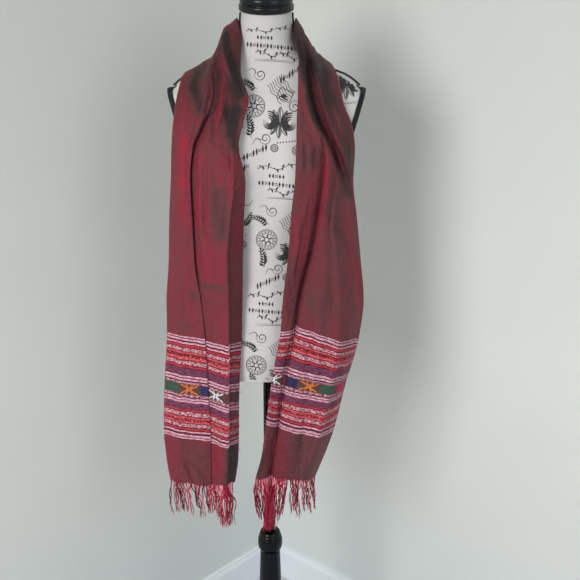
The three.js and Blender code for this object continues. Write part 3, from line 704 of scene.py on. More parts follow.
# Darkening of the cloth's colour: painted shade where it lies deep in a fold or crease, and the first line a darker
# lower end of the right front: picture points, width in px, amount
DEEP = [
    ([(283, 452), (280, 490)], 18, .42),
    ([(233.5, 24), (230.5, 34), (230.5, 46), (234, 56), (237.5, 68), (239.5, 80)], 2.0, .5),
    ([(237, 22), (238, 66)], 4, .4),
    ([(219.5, 76), (218.5, 90), (216, 104)], 2.2, .28),
    ([(217, 103), (214, 112), (208.5, 116.5), (203.5, 124), (199.5, 134), (195.5, 144), (192.5, 158), (191, 178), (191.5, 208), (193.5, 238), (196.5, 264), (199, 286)], 1.3, .62),
    ([(205, 128), (198, 144), (195, 164), (195, 190), (195, 216)], 3, .3),
    ([(212, 116), (213.5, 138)], 1.8, .3),
    ([(210, 141), (217, 146), (225, 148)], .8, .4),
    ([(221, 152.5), (227, 156.5), (233, 162.5)], .8, .35),
    ([(303, 50), (307.5, 62), (310, 76), (312, 92), (316, 108), (321, 122), (327, 134), (331.5, 146), (336, 160), (342, 178), (349, 194)], 3.2, 1.35),
    ([(311, 78), (314, 98), (320, 116), (326, 128)], 4.5, .7),
    ([(300.5, 34), (303, 50)], 2.0, .8),
    ([(294, 20), (300, 40), (307, 62)], 6, .6),
    ([(320.5, 122), (322.5, 140), (324.3, 160), (322.5, 185), (319, 207), (316, 230), (312, 250), (308, 264)], 1.3, .6),
    ([(315, 210), (311, 240), (305, 268), (300, 292)], 4, .3),
    ([(310, 252), (305, 268), (301, 284), (297.5, 302), (294, 325), (289, 350), (283, 384), (279, 410)], 2.2, .6),
    ([(300.5, 224), (299.5, 246), (296, 260), (294, 278)], 1.0, .4),
    ([(329, 218), (336, 226), (345, 237)], .9, .4),
    ([(334, 228), (341, 237), (348, 248)], .9, .4),
    ([(359, 242), (357.5, 256), (352, 282), (348.5, 305)], 1.6, .25),
    ([(347, 120), (351, 150), (350, 180)], 6, .15),
    ([(309, 70), (311.5, 88), (315.5, 104), (320.5, 118), (326, 130), (330.5, 142)], 1.6, .6),
    ([(345.5, 340), (340.5, 368), (335, 394), (329, 418), (325, 438)], 4.2, .34),
    ([(353, 340), (348, 368), (342, 394)], 5, .26),
    ([(205, 330), (207, 365), (208.7, 395), (210.3, 417), (212, 442)], .8, .45),
    ([(185.5, 463), (190, 474), (195, 485)], .9, .5),
    ([(187.5, 461), (199, 470.5), (208.5, 482)], .9, .35),
]

# ------------------------------------------------------------------ materials
CRIMSON, MAROON, BROWN, OLIVE = srgb(160, 26, 50), srgb(130, 42, 56), srgb(104, 52, 57), srgb(50, 36, 36)

# Woven end bands, from the figured band outwards: width in mm, ground, figure, kind
# kinds: 0 plain, 1 speckled (small checks), 2 dotted, 3 streaked
PINK, DARK, SALMON, RED = (236, 176, 192), (74, 22, 40), (206, 62, 76), (166, 22, 48)
DEEPRED, PLUM, ROSE, PALE = (146, 12, 34), (98, 40, 68), (150, 26, 54), (214, 136, 158)
LIT, VEIN = (250, 212, 224), (140, 76, 110)
UPPER = [(10.5, (92, 62, 54), (74, 46, 44), 0), (4.3, (140, 40, 62), PINK, 1), (2.4, DARK, DARK, 0), (3.9, PALE, LIT, 3),
         (1.9, (104, 34, 54), DARK, 0), (3.9, PALE, LIT, 3), (1.6, DARK, DARK, 0), (13.0, PLUM, VEIN, 3),
         (1.8, (104, 22, 42), DARK, 0), (3.6, SALMON, RED, 3), (1.9, (104, 22, 38), DARK, 0), (7.6, ROSE, (244, 186, 198), 1), (2.2, (104, 22, 40), RED, 0),
         (4.8, SALMON, (232, 124, 134), 3), (5.0, DEEPRED, (255, 196, 170), 2), (2.0, (110, 18, 36), RED, 0), (3.2, SALMON, (232, 124, 134), 3), (1.7, (104, 22, 38), DARK, 0),
         (6.6, ROSE, (244, 186, 198), 1), (2.3, (110, 22, 42), RED, 0), (3.6, SALMON, RED, 3), (2.4, (104, 20, 38), DARK, 0),
         (3.1, (224, 130, 150), LIT, 3), (3.6, DARK, (100, 46, 60), 3), (3.9, PALE, LIT, 3), (1.9, (96, 40, 58), DARK, 0),
         (3.9, PALE, LIT, 3)]
LOWER = [(10.5, (92, 62, 54), (74, 46, 44), 0), (5.0, (140, 40, 62), PINK, 1), (2.6, DARK, DARK, 0), (3.8, PALE, LIT, 3),
         (1.9, (104, 34, 54), DARK, 0), (3.8, PALE, LIT, 3), (13.4, PLUM, VEIN, 3), (1.6, (104, 22, 42), DARK, 0), (3.4, SALMON, RED, 3),
         (2.2, (104, 22, 38), DARK, 0), (8.2, ROSE, (244, 186, 198), 1), (2.2, (110, 20, 38), DARK, 0), (3.6, SALMON, (232, 124, 134), 3),
         (5.8, DEEPRED, (255, 196, 170), 2), (3.6, SALMON, (232, 124, 134), 3), (1.6, (110, 20, 38), DARK, 0), (7.4, ROSE, (244, 186, 198), 1),
         (2.2, (104, 22, 40), DARK, 0), (3.6, SALMON, RED, 3), (2.6, (104, 20, 38), DARK, 0), (3.6, (224, 130, 150), LIT, 3), (4.4, DARK, (100, 46, 60), 3), (4.2, PALE, LIT, 3),
         (1.9, (96, 40, 58), DARK, 0), (4.2, PALE, LIT, 3)]
BAND_CENTRE, BAND_REACH = 214.5, 112.0
# figures across the band, from each side's outer edge: colour, kind (0 star, 1 block)
FIGURES_LEFT = [((50, 84, 68), 1), ((232, 120, 62), 0), ((38, 42, 98), 1), ((238, 236, 242), 0), ((96, 52, 62), 1), ((88, 60, 50), 1), ((88, 60, 50), 1), ((88, 60, 50), 1)]
FIGURES_RIGHT = [((206, 26, 100), 1), ((50, 84, 68), 1), ((232, 128, 58), 0), ((28, 32, 82), 1), ((238, 236, 242), 0), ((150, 40, 60), 1), ((88, 60, 50), 1), ((88, 60, 50), 1)]
PITCH_MM, FIRST_LEFT, FIRST_RIGHT = 42.5, 7.0, -4.7


def cloth_material():
    k = Look("scarf_cloth")
    uvn = k.t.nodes.new("ShaderNodeUVMap")
    uvn.uv_map = "cloth"
    u, v, _ = k.split(uvn.outputs[0])          # mm across, mm along
    side = k.attr("side")
    shade = k.attr("shade")
    deep = k.attr("deep")
    P = k.coords("Object")
    # plain shot cloth: how crimson it shows. It also carries painted light: faces turned to the left, towards the key
    # lamp, are painted more crimson, and the shade attribute brings painted highlights on ridges and painted shade on
    # fold flanks
    wide = k.noise(k.xyz(k.math("MULTIPLY", u, .022), k.math("MULTIPLY", v, .011), side), 1.0, 3, .55)
    slub = k.noise(k.xyz(k.math("MULTIPLY", u, .02), k.math("MULTIPLY", v, .9), side), 1.0, 3, .6)
    thread = k.noise(k.xyz(k.math("MULTIPLY", u, .9), k.math("MULTIPLY", v, .03), side), 1.0, 2, .6)
    geo = k.t.nodes.new("ShaderNodeNewGeometry")
    nx, ny, nz = k.split(geo.outputs["Normal"])
    tone = k.math("MULTIPLY_ADD", k.math("SUBTRACT", wide, .5), .42, .46)
    tone = k.math("MULTIPLY_ADD", nx, -.1, tone)
    tone = k.math("MULTIPLY_ADD", shade, .55, tone)
    tone = k.math("MULTIPLY_ADD", k.math("SUBTRACT", slub, .5), .22, tone)
    tone = k.math("MULTIPLY_ADD", k.math("SUBTRACT", thread, .5), .08, tone, clamp=True)
    plain = k.ramp(tone, [(0, OLIVE), (.3, BROWN), (.55, MAROON), (1, CRIMSON)])
    # woven bands
    wave = k.noise(k.xyz(k.math("MULTIPLY", u, .035), k.math("MULTIPLY", v, .02), side), 1.0, 2, .5)
    vv = k.math("MULTIPLY_ADD", k.math("SUBTRACT", wave, .5), 5.0, v)
    t = k.math("SUBTRACT", vv, BAND_CENTRE)
    a = k.math("DIVIDE", k.math("ABSOLUTE", t), BAND_REACH)
    halves = []
    for rows_ in (UPPER, LOWER):
        total = sum(r[0] for r in rows_)
        # fill the reach with this half's own proportions, the figured band first
        reach = 110.0
        pos, g, f, kinds = 0.0, [], [], []
        for i, (w, c1, c2, kind) in enumerate(rows_):
            at = pos * reach / total / BAND_REACH
            g.append((at, srgb(*c1)))
            f.append((at, srgb(*c2)))
            kinds.append((at, [(0, 0, 0), (1, 0, 0), (0, 1, 0), (0, 0, 1)][kind]))
            pos += w
        halves.append([k.ramp(a, x, "CONSTANT") for x in (g, f, kinds)])
    above = k.math("GREATER_THAN", t, 0.0)
    ground, figure, kinds = (k.mix(above, lo, hi) for hi, lo in zip(halves[0], halves[1]))
    ks, kd, kt = k.split(kinds)
    tau = 2 * math.pi
    jit = k.noise(k.xyz(k.math("MULTIPLY", u, .25), k.math("MULTIPLY", v, .25), side), 1.0, 2, .6)
    dash = k.noise(k.xyz(k.math("MULTIPLY", u, .17), k.math("MULTIPLY", vv, .62), k.math("ADD", side, 4.0)), 1.0, 2, .6)
    speck = k.range(dash, .455, .515)
    dots = k.noise(k.xyz(k.math("MULTIPLY", u, .24), k.math("MULTIPLY", vv, .5), k.math("ADD", side, 9.0)), 1.0, 1, .5)
    dots = k.range(dots, .62, .66)
    streak = k.noise(k.xyz(k.math("MULTIPLY", u, .10), k.math("MULTIPLY", vv, .75), side), 1.0, 2, .65)
    streak = k.range(streak, .48, .58)
    on = k.math("MULTIPLY", ks, speck)
    on = k.math("MAXIMUM", on, k.math("MULTIPLY", kd, dots))
    on = k.math("MAXIMUM", on, k.math("MULTIPLY", kt, streak))
    bands = k.mix(on, ground, figure)
    # dark picks that break the pale rows
    gap = k.noise(k.xyz(k.math("MULTIPLY", u, .26), k.math("MULTIPLY", vv, .85), k.math("ADD", side, 2.0)), 1.0, 1, .5)
    gap = k.math("MULTIPLY", k.range(gap, .58, .63), k.math("MAXIMUM", kt, ks))
    bands = k.mix(k.math("MULTIPLY", gap, .6), bands, srgb(92, 26, 48))
    # bright flecks among the dots
    fleck = k.noise(k.xyz(k.math("MULTIPLY", u, .22), k.math("MULTIPLY", vv, .5), side), 1.0, 1, .5)
    fleck = k.math("MULTIPLY", k.range(fleck, .50, .60), k.math("MULTIPLY", kd, dots))
    bands = k.mix(fleck, bands, srgb(252, 190, 140))
    # figures
    right = k.math("GREATER_THAN", side, 0.0)
    first = k.math("MULTIPLY_ADD", right, FIRST_RIGHT - FIRST_LEFT, FIRST_LEFT)
    w_ = k.math("DIVIDE", k.math("ADD", u, first), PITCH_MM)
    cell = k.math("FLOOR", w_)
    p = k.math("MULTIPLY", k.math("SUBTRACT", k.math("FRACT", w_), .5), PITCH_MM)
    ap = k.math("ABSOLUTE", k.math("MULTIPLY", k.math("ROUND", k.math("DIVIDE", p, 1.5)), 1.5))
    aq = k.math("ABSOLUTE", k.math("MULTIPLY", k.math("ROUND", k.math("DIVIDE", t, 1.3)), 1.3))
    cols = []
    for figs in (FIGURES_LEFT, FIGURES_RIGHT):
        n = len(figs)
        cols.append((k.ramp(k.math("DIVIDE", k.math("ADD", cell, .5), float(n)), [(i / n, srgb(*c)) for i, (c, _) in enumerate(figs)], "CONSTANT"),
                     k.ramp(k.math("DIVIDE", k.math("ADD", cell, .5), float(n)), [(i / n, float(z)) for i, (_, z) in enumerate(figs)], "CONSTANT")))
    colour = k.mix(right, cols[0][0], cols[1][0])
    block = k.mix(right, cols[0][1], cols[1][1])
    block = k.split(block)[0]

    def ray(slope, width):
        d = k.math("ABSOLUTE", k.math("SUBTRACT", aq, k.math("MULTIPLY", ap, slope)))
        return k.math("LESS_THAN", d, width)
    star = k.math("MAXIMUM", ray(.52, 1.5), ray(1.35, 2.0))
    star = k.math("MAXIMUM", star, k.math("LESS_THAN", k.math("ADD", ap, k.math("MULTIPLY", aq, 1.6)), 5.0))
    inside = k.math("MULTIPLY", k.math("LESS_THAN", ap, 18.6), k.math("LESS_THAN", aq, 9.6))
    hole = k.math("GREATER_THAN", k.math("ADD", ap, k.math("MULTIPLY", aq, 1.4)), 2.4)
    star = k.math("MULTIPLY", k.math("MULTIPLY", star, inside), hole)
    woven = k.range(k.noise(k.xyz(k.math("MULTIPLY", u, .5), k.math("MULTIPLY", v, .5), side), 1.0, 2, .6), .34, .46, .55, 1.0)
    full = k.math("MULTIPLY", inside, woven)
    dia = k.math("ABSOLUTE", k.math("SUBTRACT", k.math("ADD", ap, k.math("MULTIPLY", aq, 1.5)), 9.5))
    full = k.math("MULTIPLY", full, k.math("MULTIPLY_ADD", k.math("LESS_THAN", dia, 1.1), -.45, 1.0))
    shape = k.math("ADD", k.math("MULTIPLY", star, k.math("SUBTRACT", 1.0, block)), k.math("MULTIPLY", full, block))
    in_band = k.math("LESS_THAN", k.math("ABSOLUTE", t), 10.4)
    bands = k.mix(k.math("MULTIPLY", shape, in_band), bands, colour)
    inside_band = k.math("LESS_THAN", k.math("ABSOLUTE", t), 109.0)
    body = k.mix(inside_band, plain, bands)
    # painted shade: the deep attribute darkens the colour in folds, creases and behind the left lip
    body = k.mix(k.math("MULTIPLY", deep, .8, clamp=True), body, k.mix(1.0, body, (.22, .17, .17), "MULTIPLY"))
    pale = k.noise(k.xyz(k.math("MULTIPLY", u, .33), k.math("MULTIPLY", v, .5), side), 1.0, 2, .7)
    pale = k.math("MULTIPLY", k.range(pale, .57, .64), k.math("MULTIPLY", k.math("GREATER_THAN", side, 0.0), k.math("LESS_THAN", v, 104.0)))
    body = k.mix(k.math("MULTIPLY", pale, .26), body, srgb(196, 138, 144))
    # selvedge, and the weave's own light and dark
    sel = k.math("LESS_THAN", u, 1.6)
    body = k.mix(k.math("MULTIPLY", sel, .5), body, srgb(176, 96, 104))
    weave = k.noise(k.xyz(k.math("MULTIPLY", u, .5), k.math("MULTIPLY", v, .62), side), 1.0, 2, .65)
    body = k.mix(k.range(weave, .40, .66, 0, .5), body, k.mix(1.0, body, (.5, .48, .48), "MULTIPLY"))
    body = k.mix(k.range(weave, .34, .46, .25, 0), body, k.mix(1.0, body, (1.5, 1.55, 1.6), "MULTIPLY"))
    fine_u = k.math("SINE", k.math("MULTIPLY", u, tau / 1.1))
    fine_v = k.math("SINE", k.math("MULTIPLY", v, tau / 1.1))
    height = k.math("MULTIPLY", fine_u, fine_v)
    height = k.math("ADD", height, k.math("MULTIPLY", slub, 3.0))
    b1 = k.bump(height, .35, .0004)
    crink = k.noise(k.xyz(k.math("MULTIPLY", u, .11), k.math("MULTIPLY", v, .07), side), 1.0, 4, .62)
    raised = k.math("MULTIPLY", k.math("MULTIPLY", k.math("MAXIMUM", ks, k.math("MAXIMUM", kd, shape)), inside_band), on)
    b2 = k.bump(k.math("ADD", k.math("MULTIPLY", crink, 1.0), k.math("MULTIPLY", raised, .12)), .8, .006, b1)
    rough = k.range(wide, .2, .8, .5, .68)
    k.put(k.bsdf.inputs["Base Color"], body)
    k.put(k.bsdf.inputs["Roughness"], rough)
    k.put(k.bsdf.inputs["Normal"], b2)
    k.set(Sheen_Weight=.12, Sheen_Roughness=.4, Sheen_Tint=srgb(226, 120, 130), Specular_IOR_Level=.3)
    return k.mat


def fringe_material():
    k = Look("scarf_fringe")
    tint = k.attr("tint")
    along = k.attr("along")
    P = k.coords("Object")
    # the colour ramp is partly the yarn's crimson; its dark end is painted shade between the strands, its pale pink end
    # painted highlight on the twisted yarn
    n = k.noise(P, 420.0, 2, .6)
    f = k.math("MULTIPLY_ADD", k.math("SUBTRACT", n, .5), .7, tint, clamp=True)
    c = k.ramp(f, [(0, srgb(58, 16, 30)), (.25, srgb(98, 12, 36)), (.55, srgb(172, 14, 56)), (.8, srgb(208, 34, 78)), (.9, srgb(226, 112, 136)), (1, srgb(238, 186, 194))])
    k.put(k.bsdf.inputs["Base Color"], c)
    tw = k.math("SINE", k.math("MULTIPLY", along, 2600.0))
    k.put(k.bsdf.inputs["Normal"], k.bump(tw, .5, .0004))
    k.put(k.bsdf.inputs["Roughness"], k.range(n, .3, .7, .5, .7))
    k.set(Sheen_Weight=.3, Sheen_Roughness=.5, Sheen_Tint=srgb(230, 130, 150), Specular_IOR_Level=.25)
    return k.mat


def linen_material():
    k = Look("form_cover")
    P = k.coords("Object")
    x, y, z = k.split(P)
    big = k.noise(P, 7.0, 3, .5)
    fine = k.noise(k.xyz(k.math("MULTIPLY", x, 260.0), k.math("MULTIPLY", y, 260.0), k.math("MULTIPLY", z, 900.0)), 1.0, 2, .6)
    fine2 = k.noise(k.xyz(k.math("MULTIPLY", x, 900.0), k.math("MULTIPLY", y, 900.0), k.math("MULTIPLY", z, 240.0)), 1.0, 2, .6)
    w = k.math("ADD", fine, fine2)
    c = k.mix(k.range(big, .3, .7), srgb(212, 210, 208), srgb(202, 199, 198))
    c = k.mix(k.range(w, .75, 1.25, 0, .35), c, srgb(186, 182, 180))
    # painted shade: the neck darker towards the cap
    c = k.mix(k.range(z, 1.47, 1.60, 0, .8), c, srgb(188, 186, 183))
    # the piping runs on over the shoulder point to the armhole plate
    ax = k.math("ABSOLUTE", x)
    reach = k.math("ADD", k.math("MULTIPLY", k.math("SUBTRACT", .187, ax), .668), k.math("MULTIPLY", k.math("SUBTRACT", 1.469, z), .744))
    tail = k.math("MULTIPLY", k.math("LESS_THAN", reach, .0042), k.math("MULTIPLY", k.math("GREATER_THAN", ax, .174), k.math("GREATER_THAN", z, 1.463)))
    c = k.mix(tail, c, srgb(30, 30, 34))
    k.put(k.bsdf.inputs["Base Color"], c)
    k.put(k.bsdf.inputs["Roughness"], k.range(big, .3, .7, .82, .92))
    k.put(k.bsdf.inputs["Normal"], k.bump(w, .35, .0005))
    k.set(Sheen_Weight=.12, Sheen_Roughness=.5, Specular_IOR_Level=.2)
    return k.mat


def ink_material():
    k = Look("cover_print")
    P = k.coords("Object")
    n = k.noise(P, 900.0, 2, .6)
    c = k.mix(k.range(n, .45, .7, 0, .6), srgb(38, 36, 38), srgb(92, 88, 88))
    k.put(k.bsdf.inputs["Base Color"], c)
    k.put(k.bsdf.inputs["Roughness"], k.range(n, .3, .7, .75, .9))
    return k.mat


def black_gloss(name, base=(12, 13, 16), rough=(.13, .2), bump_scale=160.0, coat=0.0, gloss=.4):
    k = Look(name)
    P = k.coords("Object")
    n = k.noise(P, bump_scale, 3, .6)
    big = k.noise(P, 14.0, 3, .6)
    c = k.mix(k.range(big, .35, .7, 0, .5), srgb(*base), srgb(*(v + 5 for v in base)))
    k.put(k.bsdf.inputs["Base Color"], c)
    k.put(k.bsdf.inputs["Roughness"], k.range(big, .3, .7, *rough))
    k.put(k.bsdf.inputs["Normal"], k.bump(n, .12, .0005))
    k.set(Coat_Weight=coat, Coat_Roughness=.12, Specular_IOR_Level=gloss)
    return k.mat


def piping_material():
    k = Look("form_piping")
    P = k.coords("Object")
    x, y, z = k.split(P)
    tw = k.math("SINE", k.math("MULTIPLY", k.math("ADD", z, k.math("MULTIPLY", y, .8)), 2400.0))
    n = k.noise(P, 500.0, 2, .6)
    c = k.mix(k.range(n, .35, .65, 0, .7), srgb(24, 24, 28), srgb(46, 46, 52))
    k.put(k.bsdf.inputs["Base Color"], c)
    k.put(k.bsdf.inputs["Roughness"], k.range(n, .3, .7, .6, .8))
    k.put(k.bsdf.inputs["Normal"], k.bump(k.math("ADD", tw, n), .5, .0005))
    k.set(Sheen_Weight=.15)
    return k.mat


def wall_material():
    k = Look("stage_pale")
    P = k.coords("Object")
    n = k.noise(P, 3.0, 2, .5)
    c = k.mix(k.range(n, .3, .7), srgb(222, 225, 221), srgb(225, 228, 224))
    # painted shade: the wall darker towards the top; near the floor a slightly cooler tint
    c = k.mix(k.range(k.split(P)[2], .9, 1.9, 0, 1), c, srgb(206, 209, 204))
    c = k.mix(k.range(k.split(P)[2], .15, .6, 1, 0), c, srgb(219, 224, 223))
    k.put(k.bsdf.inputs["Base Color"], c)
    k.set(Roughness=.9)
    return k.mat


def board_material():
    k = Look("stage_boards")
    n = k.noise(k.coords("Object"), 5.0, 2, .5)
    k.put(k.bsdf.inputs["Base Color"], k.mix(k.range(n, .3, .7), srgb(230, 236, 241), srgb(234, 240, 245)))
    k.set(Roughness=.45)
    return k.mat


def floor_material():
    k = Look("stage_floor")
    P = k.coords("Object")
    n = k.noise(P, 9.0, 3, .6)
    k.put(k.bsdf.inputs["Base Color"], k.mix(k.range(n, .3, .7), srgb(198, 200, 202), srgb(206, 208, 210)))
    k.set(Roughness=.7)
    return k.mat


M_CLOTH, M_FRINGE, M_LINEN, M_INK = cloth_material(), fringe_material(), linen_material(), ink_material()
M_STAND = black_gloss("stand_black", base=(5, 6, 9), gloss=.24)
M_CAP = black_gloss("form_black", base=(12, 13, 17), rough=(.18, .26), gloss=.35)
M_PLATE = black_gloss("form_plate", base=(16, 17, 20), rough=(.4, .55), gloss=.3)
M_PIPE = piping_material()

# ------------------------------------------------------------------ the scarf
P, M, ARCS, S, SIDES, LIE = build_cloth()
Q = seen(P)
shade = np.zeros(M.shape)
for pts, w, amount in SHADES:
    on = SIDES < 0 if np.mean([p[0] for p in pts]) < 262 and not (pts[0][1] > 450 and pts[0][0] > 240) else SIDES > 0
    d, sg, al = line_distance(Q, pts)
    shade += on[:, None] * (1 - smooth(900, 960, S))[:, None] * amount * np.exp(-(d / w) ** 2)
deep = np.zeros(M.shape)
for pts, w, amount in DEEP:
    on = SIDES < 0 if pts[0][0] < 262 else SIDES > 0
    d, sg, al = line_distance(Q, pts)
    deep += on[:, None] * (1 - smooth(900, 960, S))[:, None] * amount * np.exp(-(d / w) ** 2)
front_part = (1 - smooth(900, 960, S))[:, None]
# the layer behind the left front's inner lip: painted shade, dark next to the lip, clearer towards its edge and lighter
# again near the hem
behind = (SIDES < 0)[:, None] * smooth(9.0, 9.12, M) * (1 - smooth(700, 760, S))[:, None]
deep += behind * (.2 + .7 * np.exp(-np.maximum(M - 9.05, 0) / .55) * (1 - .55 * smooth(590, 680, S))[:, None])
deep += behind * .22 * (1 - smooth(330, 460, S))[:, None]
deep -= behind * .55 * (1 - smooth(85, 120, S))[:, None]
# painted shade: the upper part of both fronts darker, the left more
deep += (.3 + .3 * (SIDES < 0))[:, None] * smooth(165, 70, Q[..., 1]) * front_part
# painted shade over the right front's inner strip past the groove
deep += .12 * (SIDES > 0)[:, None] * smooth(7.2, 8.0, M) * (1 - smooth(620, 720, S))[:, None]
# painted shade: the whole visible right front turned towards dark olive
shade -= .12 * (SIDES > 0)[:, None] * (1 - smooth(860, 960, S))[:, None]
step = 5.6 * (SIDES < 0)[:, None] * smooth(2.95, 3.3, M) * (1 - smooth(8.9, 9.1, M)) * (1 - smooth(420, 600, S))[:, None]
step = step + 8.0 * (SIDES > 0)[:, None] * smooth(7.0, 7.6, M) * (smooth(225, 320, S) * (1 - smooth(420, 600, S)))[:, None]
RUN = np.where(SIDES < 0, S, 2 * S_BACK - S)[:, None] + 0 * ARCS
shade += (1 - front_part) * ((crumple(ARCS / 60 + 7, RUN / 95 + 3, 21) - .5) * 1.3 + (crumple(ARCS / 26 + 5, RUN / 60, 22) - .5) * .5)
UV = np.stack([ARCS, S[:, None] + step], -1)
# shade also takes painted light from LIE: fold slopes turned to the left, towards the key lamp, are painted more
# crimson, those turned right more olive
scarf = shell_object("scarf_cloth", P, M_CLOTH, CLOTH, uv=UV,
                     attrs={"side": np.broadcast_to(SIDES[:, None], M.shape), "shade": shade - .3 * np.clip(LIE, -.6, .6), "deep": np.clip(deep, 0, 1)})
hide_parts("scarf_left_front", "scarf_neck_back", "scarf_right_front")

# ------------------------------------------------------------------ the fringe
# Groups of thread ends: hem from, hem to, (picture points down the group), gathered width px, threads, tint (yarn
# colour; low tints paint strands in shade)
FRINGE_LEFT = [
    (170.5, 172, [(170.2, 497), (173.6, 517)], 1.0, 4, .25),
    (172, 178, [(177, 499), (178.2, 513)], 4.0, 9, .5),
    (176, 184, [(182.5, 499), (184.8, 513)], 3.4, 9, .4),
    (182, 192, [(188, 496), (190.6, 515)], 3.6, 10, .5),
    (190, 196, [(195.5, 494), (197, 504), (200.5, 509)], 1.0, 4, .25),
    (196, 204, [(201.5, 500), (204.3, 518.5)], 3.2, 9, .45),
    (203, 209, [(206, 498), (211, 512)], 1.8, 6, .35),
    (208, 216, [(213, 500), (212, 513)], 4.0, 13, .6),
    (213, 219, [(217, 503), (219.5, 519)], 2.8, 9, .5),
    (218, 226, [(222, 504), (223.6, 528)], 3.4, 12, .6),
    (223, 232.5, [(229, 500), (229.6, 526)], 7.0, 26, .62),
    (229, 233, [(232, 500), (232, 519)], 1.8, 6, .45),
]
FRINGE_RIGHT = [
    (254.5, 258, [(256.5, 496), (260, 518)], 2.6, 8, .55),
    (257, 264, [(259.5, 498), (262.5, 520)], 3.4, 9, .5),
    (263, 271, [(267, 500), (266.8, 531)], 6.0, 24, .66),
    (268, 277, [(271.5, 498), (270.5, 524)], 6.0, 20, .66),
    (272, 278, [(274.5, 500), (273.5, 528)], 2.8, 9, .5),
    (277, 283, [(279, 497), (277, 521)], 3.2, 9, .55),
    (282, 288, [(284, 494), (279.5, 516)], 3.2, 9, .5),
    (289, 296, [(293, 496), (292.6, 513)], 2.8, 9, .45),
    (294, 301, [(297, 498), (299.5, 517)], 3.0, 10, .5),
    (300, 307, [(304, 496), (304, 511)], 3.2, 10, .5),
    (306, 312, [(309, 497), (310.5, 514)], 2.8, 9, .5),
    (311, 316.5, [(314.5, 495), (315.5, 509)], 2.8, 8, .45),
]


def fringe_object(name, side, groups, node):
    row = 0 if side < 0 else len(P) - 1
    marks = M[row]
    use = ((marks <= 3.0) | ((marks >= 7) & (marks <= 11.2))) if side < 0 else (marks <= 11.2)
    hem, hq = P[row][use], Q_hem(row)[use]
    order = np.argsort(hq[:, 0])
    hx = hq[order, 0]
    verts, faces, tint, along = [], [], [], []
    SIDES_N = 5
    for x0, x1, pts, gw, count, hue in groups:
        for i in range(count):
            f = (i + .5) / count
            sx = lerp(x0, x1, f) + rng.uniform(-.3, .3)
            sx = float(np.clip(sx, hx[0] + .3, hx[-1] - .3))
            h = np.array([np.interp(sx, hx, hem[order, k]) for k in range(3)])
            h[2] += 2.5
            hy = float(seen(h)[1])
            y0 = h[1] + rng.uniform(-1.5, 1.5)
            tip = pts[-1]
            lx = [sx] + [p[0] for p in pts]
            ly = [hy] + [p[1] for p in pts]
            off = max(-.95, min(.95, rng.gauss(0, .5)))
            tip_y = tip[1] - abs(rng.gauss(0, 3.2)) + rng.uniform(-1, 2.0)
            ph, ph2 = rng.uniform(0, 6.28), rng.uniform(0, 6.28)
            fr, amp = rng.uniform(2.0, 4.2), rng.uniform(.35, 1.15)
            path = []
            n = 16
            fx = pchip(ly, lx)
            for q in range(n + 1):
                t = q / n
                y = lerp(hy, tip_y, t)
                centre = float(fx(min(y, ly[-1])))
                g = float(smooth(0, .45, t))
                x = lerp(sx, centre, g) + g * off * gw * (1.2 if gw < 4.5 else 1.0) * (1 - .2 * t)
                x += amp * math.sin(t * fr * 3.1 + ph) * float(smooth(0, .3, t))
                depth = y0 + g * rng_depth(off, t) + 2.0 * math.sin(t * 5 + ph2)
                path.append(place(x, y, depth))
            r0 = rng.uniform(.65, 1.05)
            base = len(verts)
            path = np.array(path)
            tang = unit(np.gradient(path, axis=0))
            u = unit(np.cross(tang, [0, 1.0, 0]))
            w = np.cross(tang, u)
            # each strand's tint, raised near the hem below: a low tint paints the strand in shade, a high one paints a
            # highlight
            tn = .97 if rng.random() < .1 else min(.85, max(0, hue - .1 + rng.gauss(0, .22)))
            for q in range(n + 1):
                t = q / n
                r = r0 * (1 - .45 * t ** 3)
                for m in range(SIDES_N):
                    a = 2 * math.pi * m / SIDES_N
                    verts.append(path[q] + r * (math.cos(a) * u[q] + math.sin(a) * w[q]))
                    tint.append(tn + (.25 * (1 - t) ** 4))
                    along.append(t * .1 + m * .0005)
            for q in range(n):
                for m in range(SIDES_N):
                    a, b = base + q * SIDES_N + m, base + q * SIDES_N + (m + 1) % SIDES_N
                    faces.append((a, b, b + SIDES_N, a + SIDES_N))
            faces.append(tuple(base + m for m in range(SIDES_N)))
            faces.append(tuple(base + n * SIDES_N + m for m in reversed(range(SIDES_N))))
    ob = mesh_object(name, verts, faces, M_FRINGE)
    for key, val in (("tint", tint), ("along", along)):
        at = ob.data.attributes.new(key, "FLOAT", "POINT")
        at.data.foreach_set("value", np.array(val, np.float32))
    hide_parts(node)
    return ob


def Q_hem(row):
    return seen(P[row])


def rng_depth(off, t):
    return 3.0 * off


fringe_l = fringe_object("fringe_threads_left", -1, FRINGE_LEFT, "fringe_left")
fringe_r = fringe_object("fringe_threads_right", 1, FRINGE_RIGHT, "fringe_right")

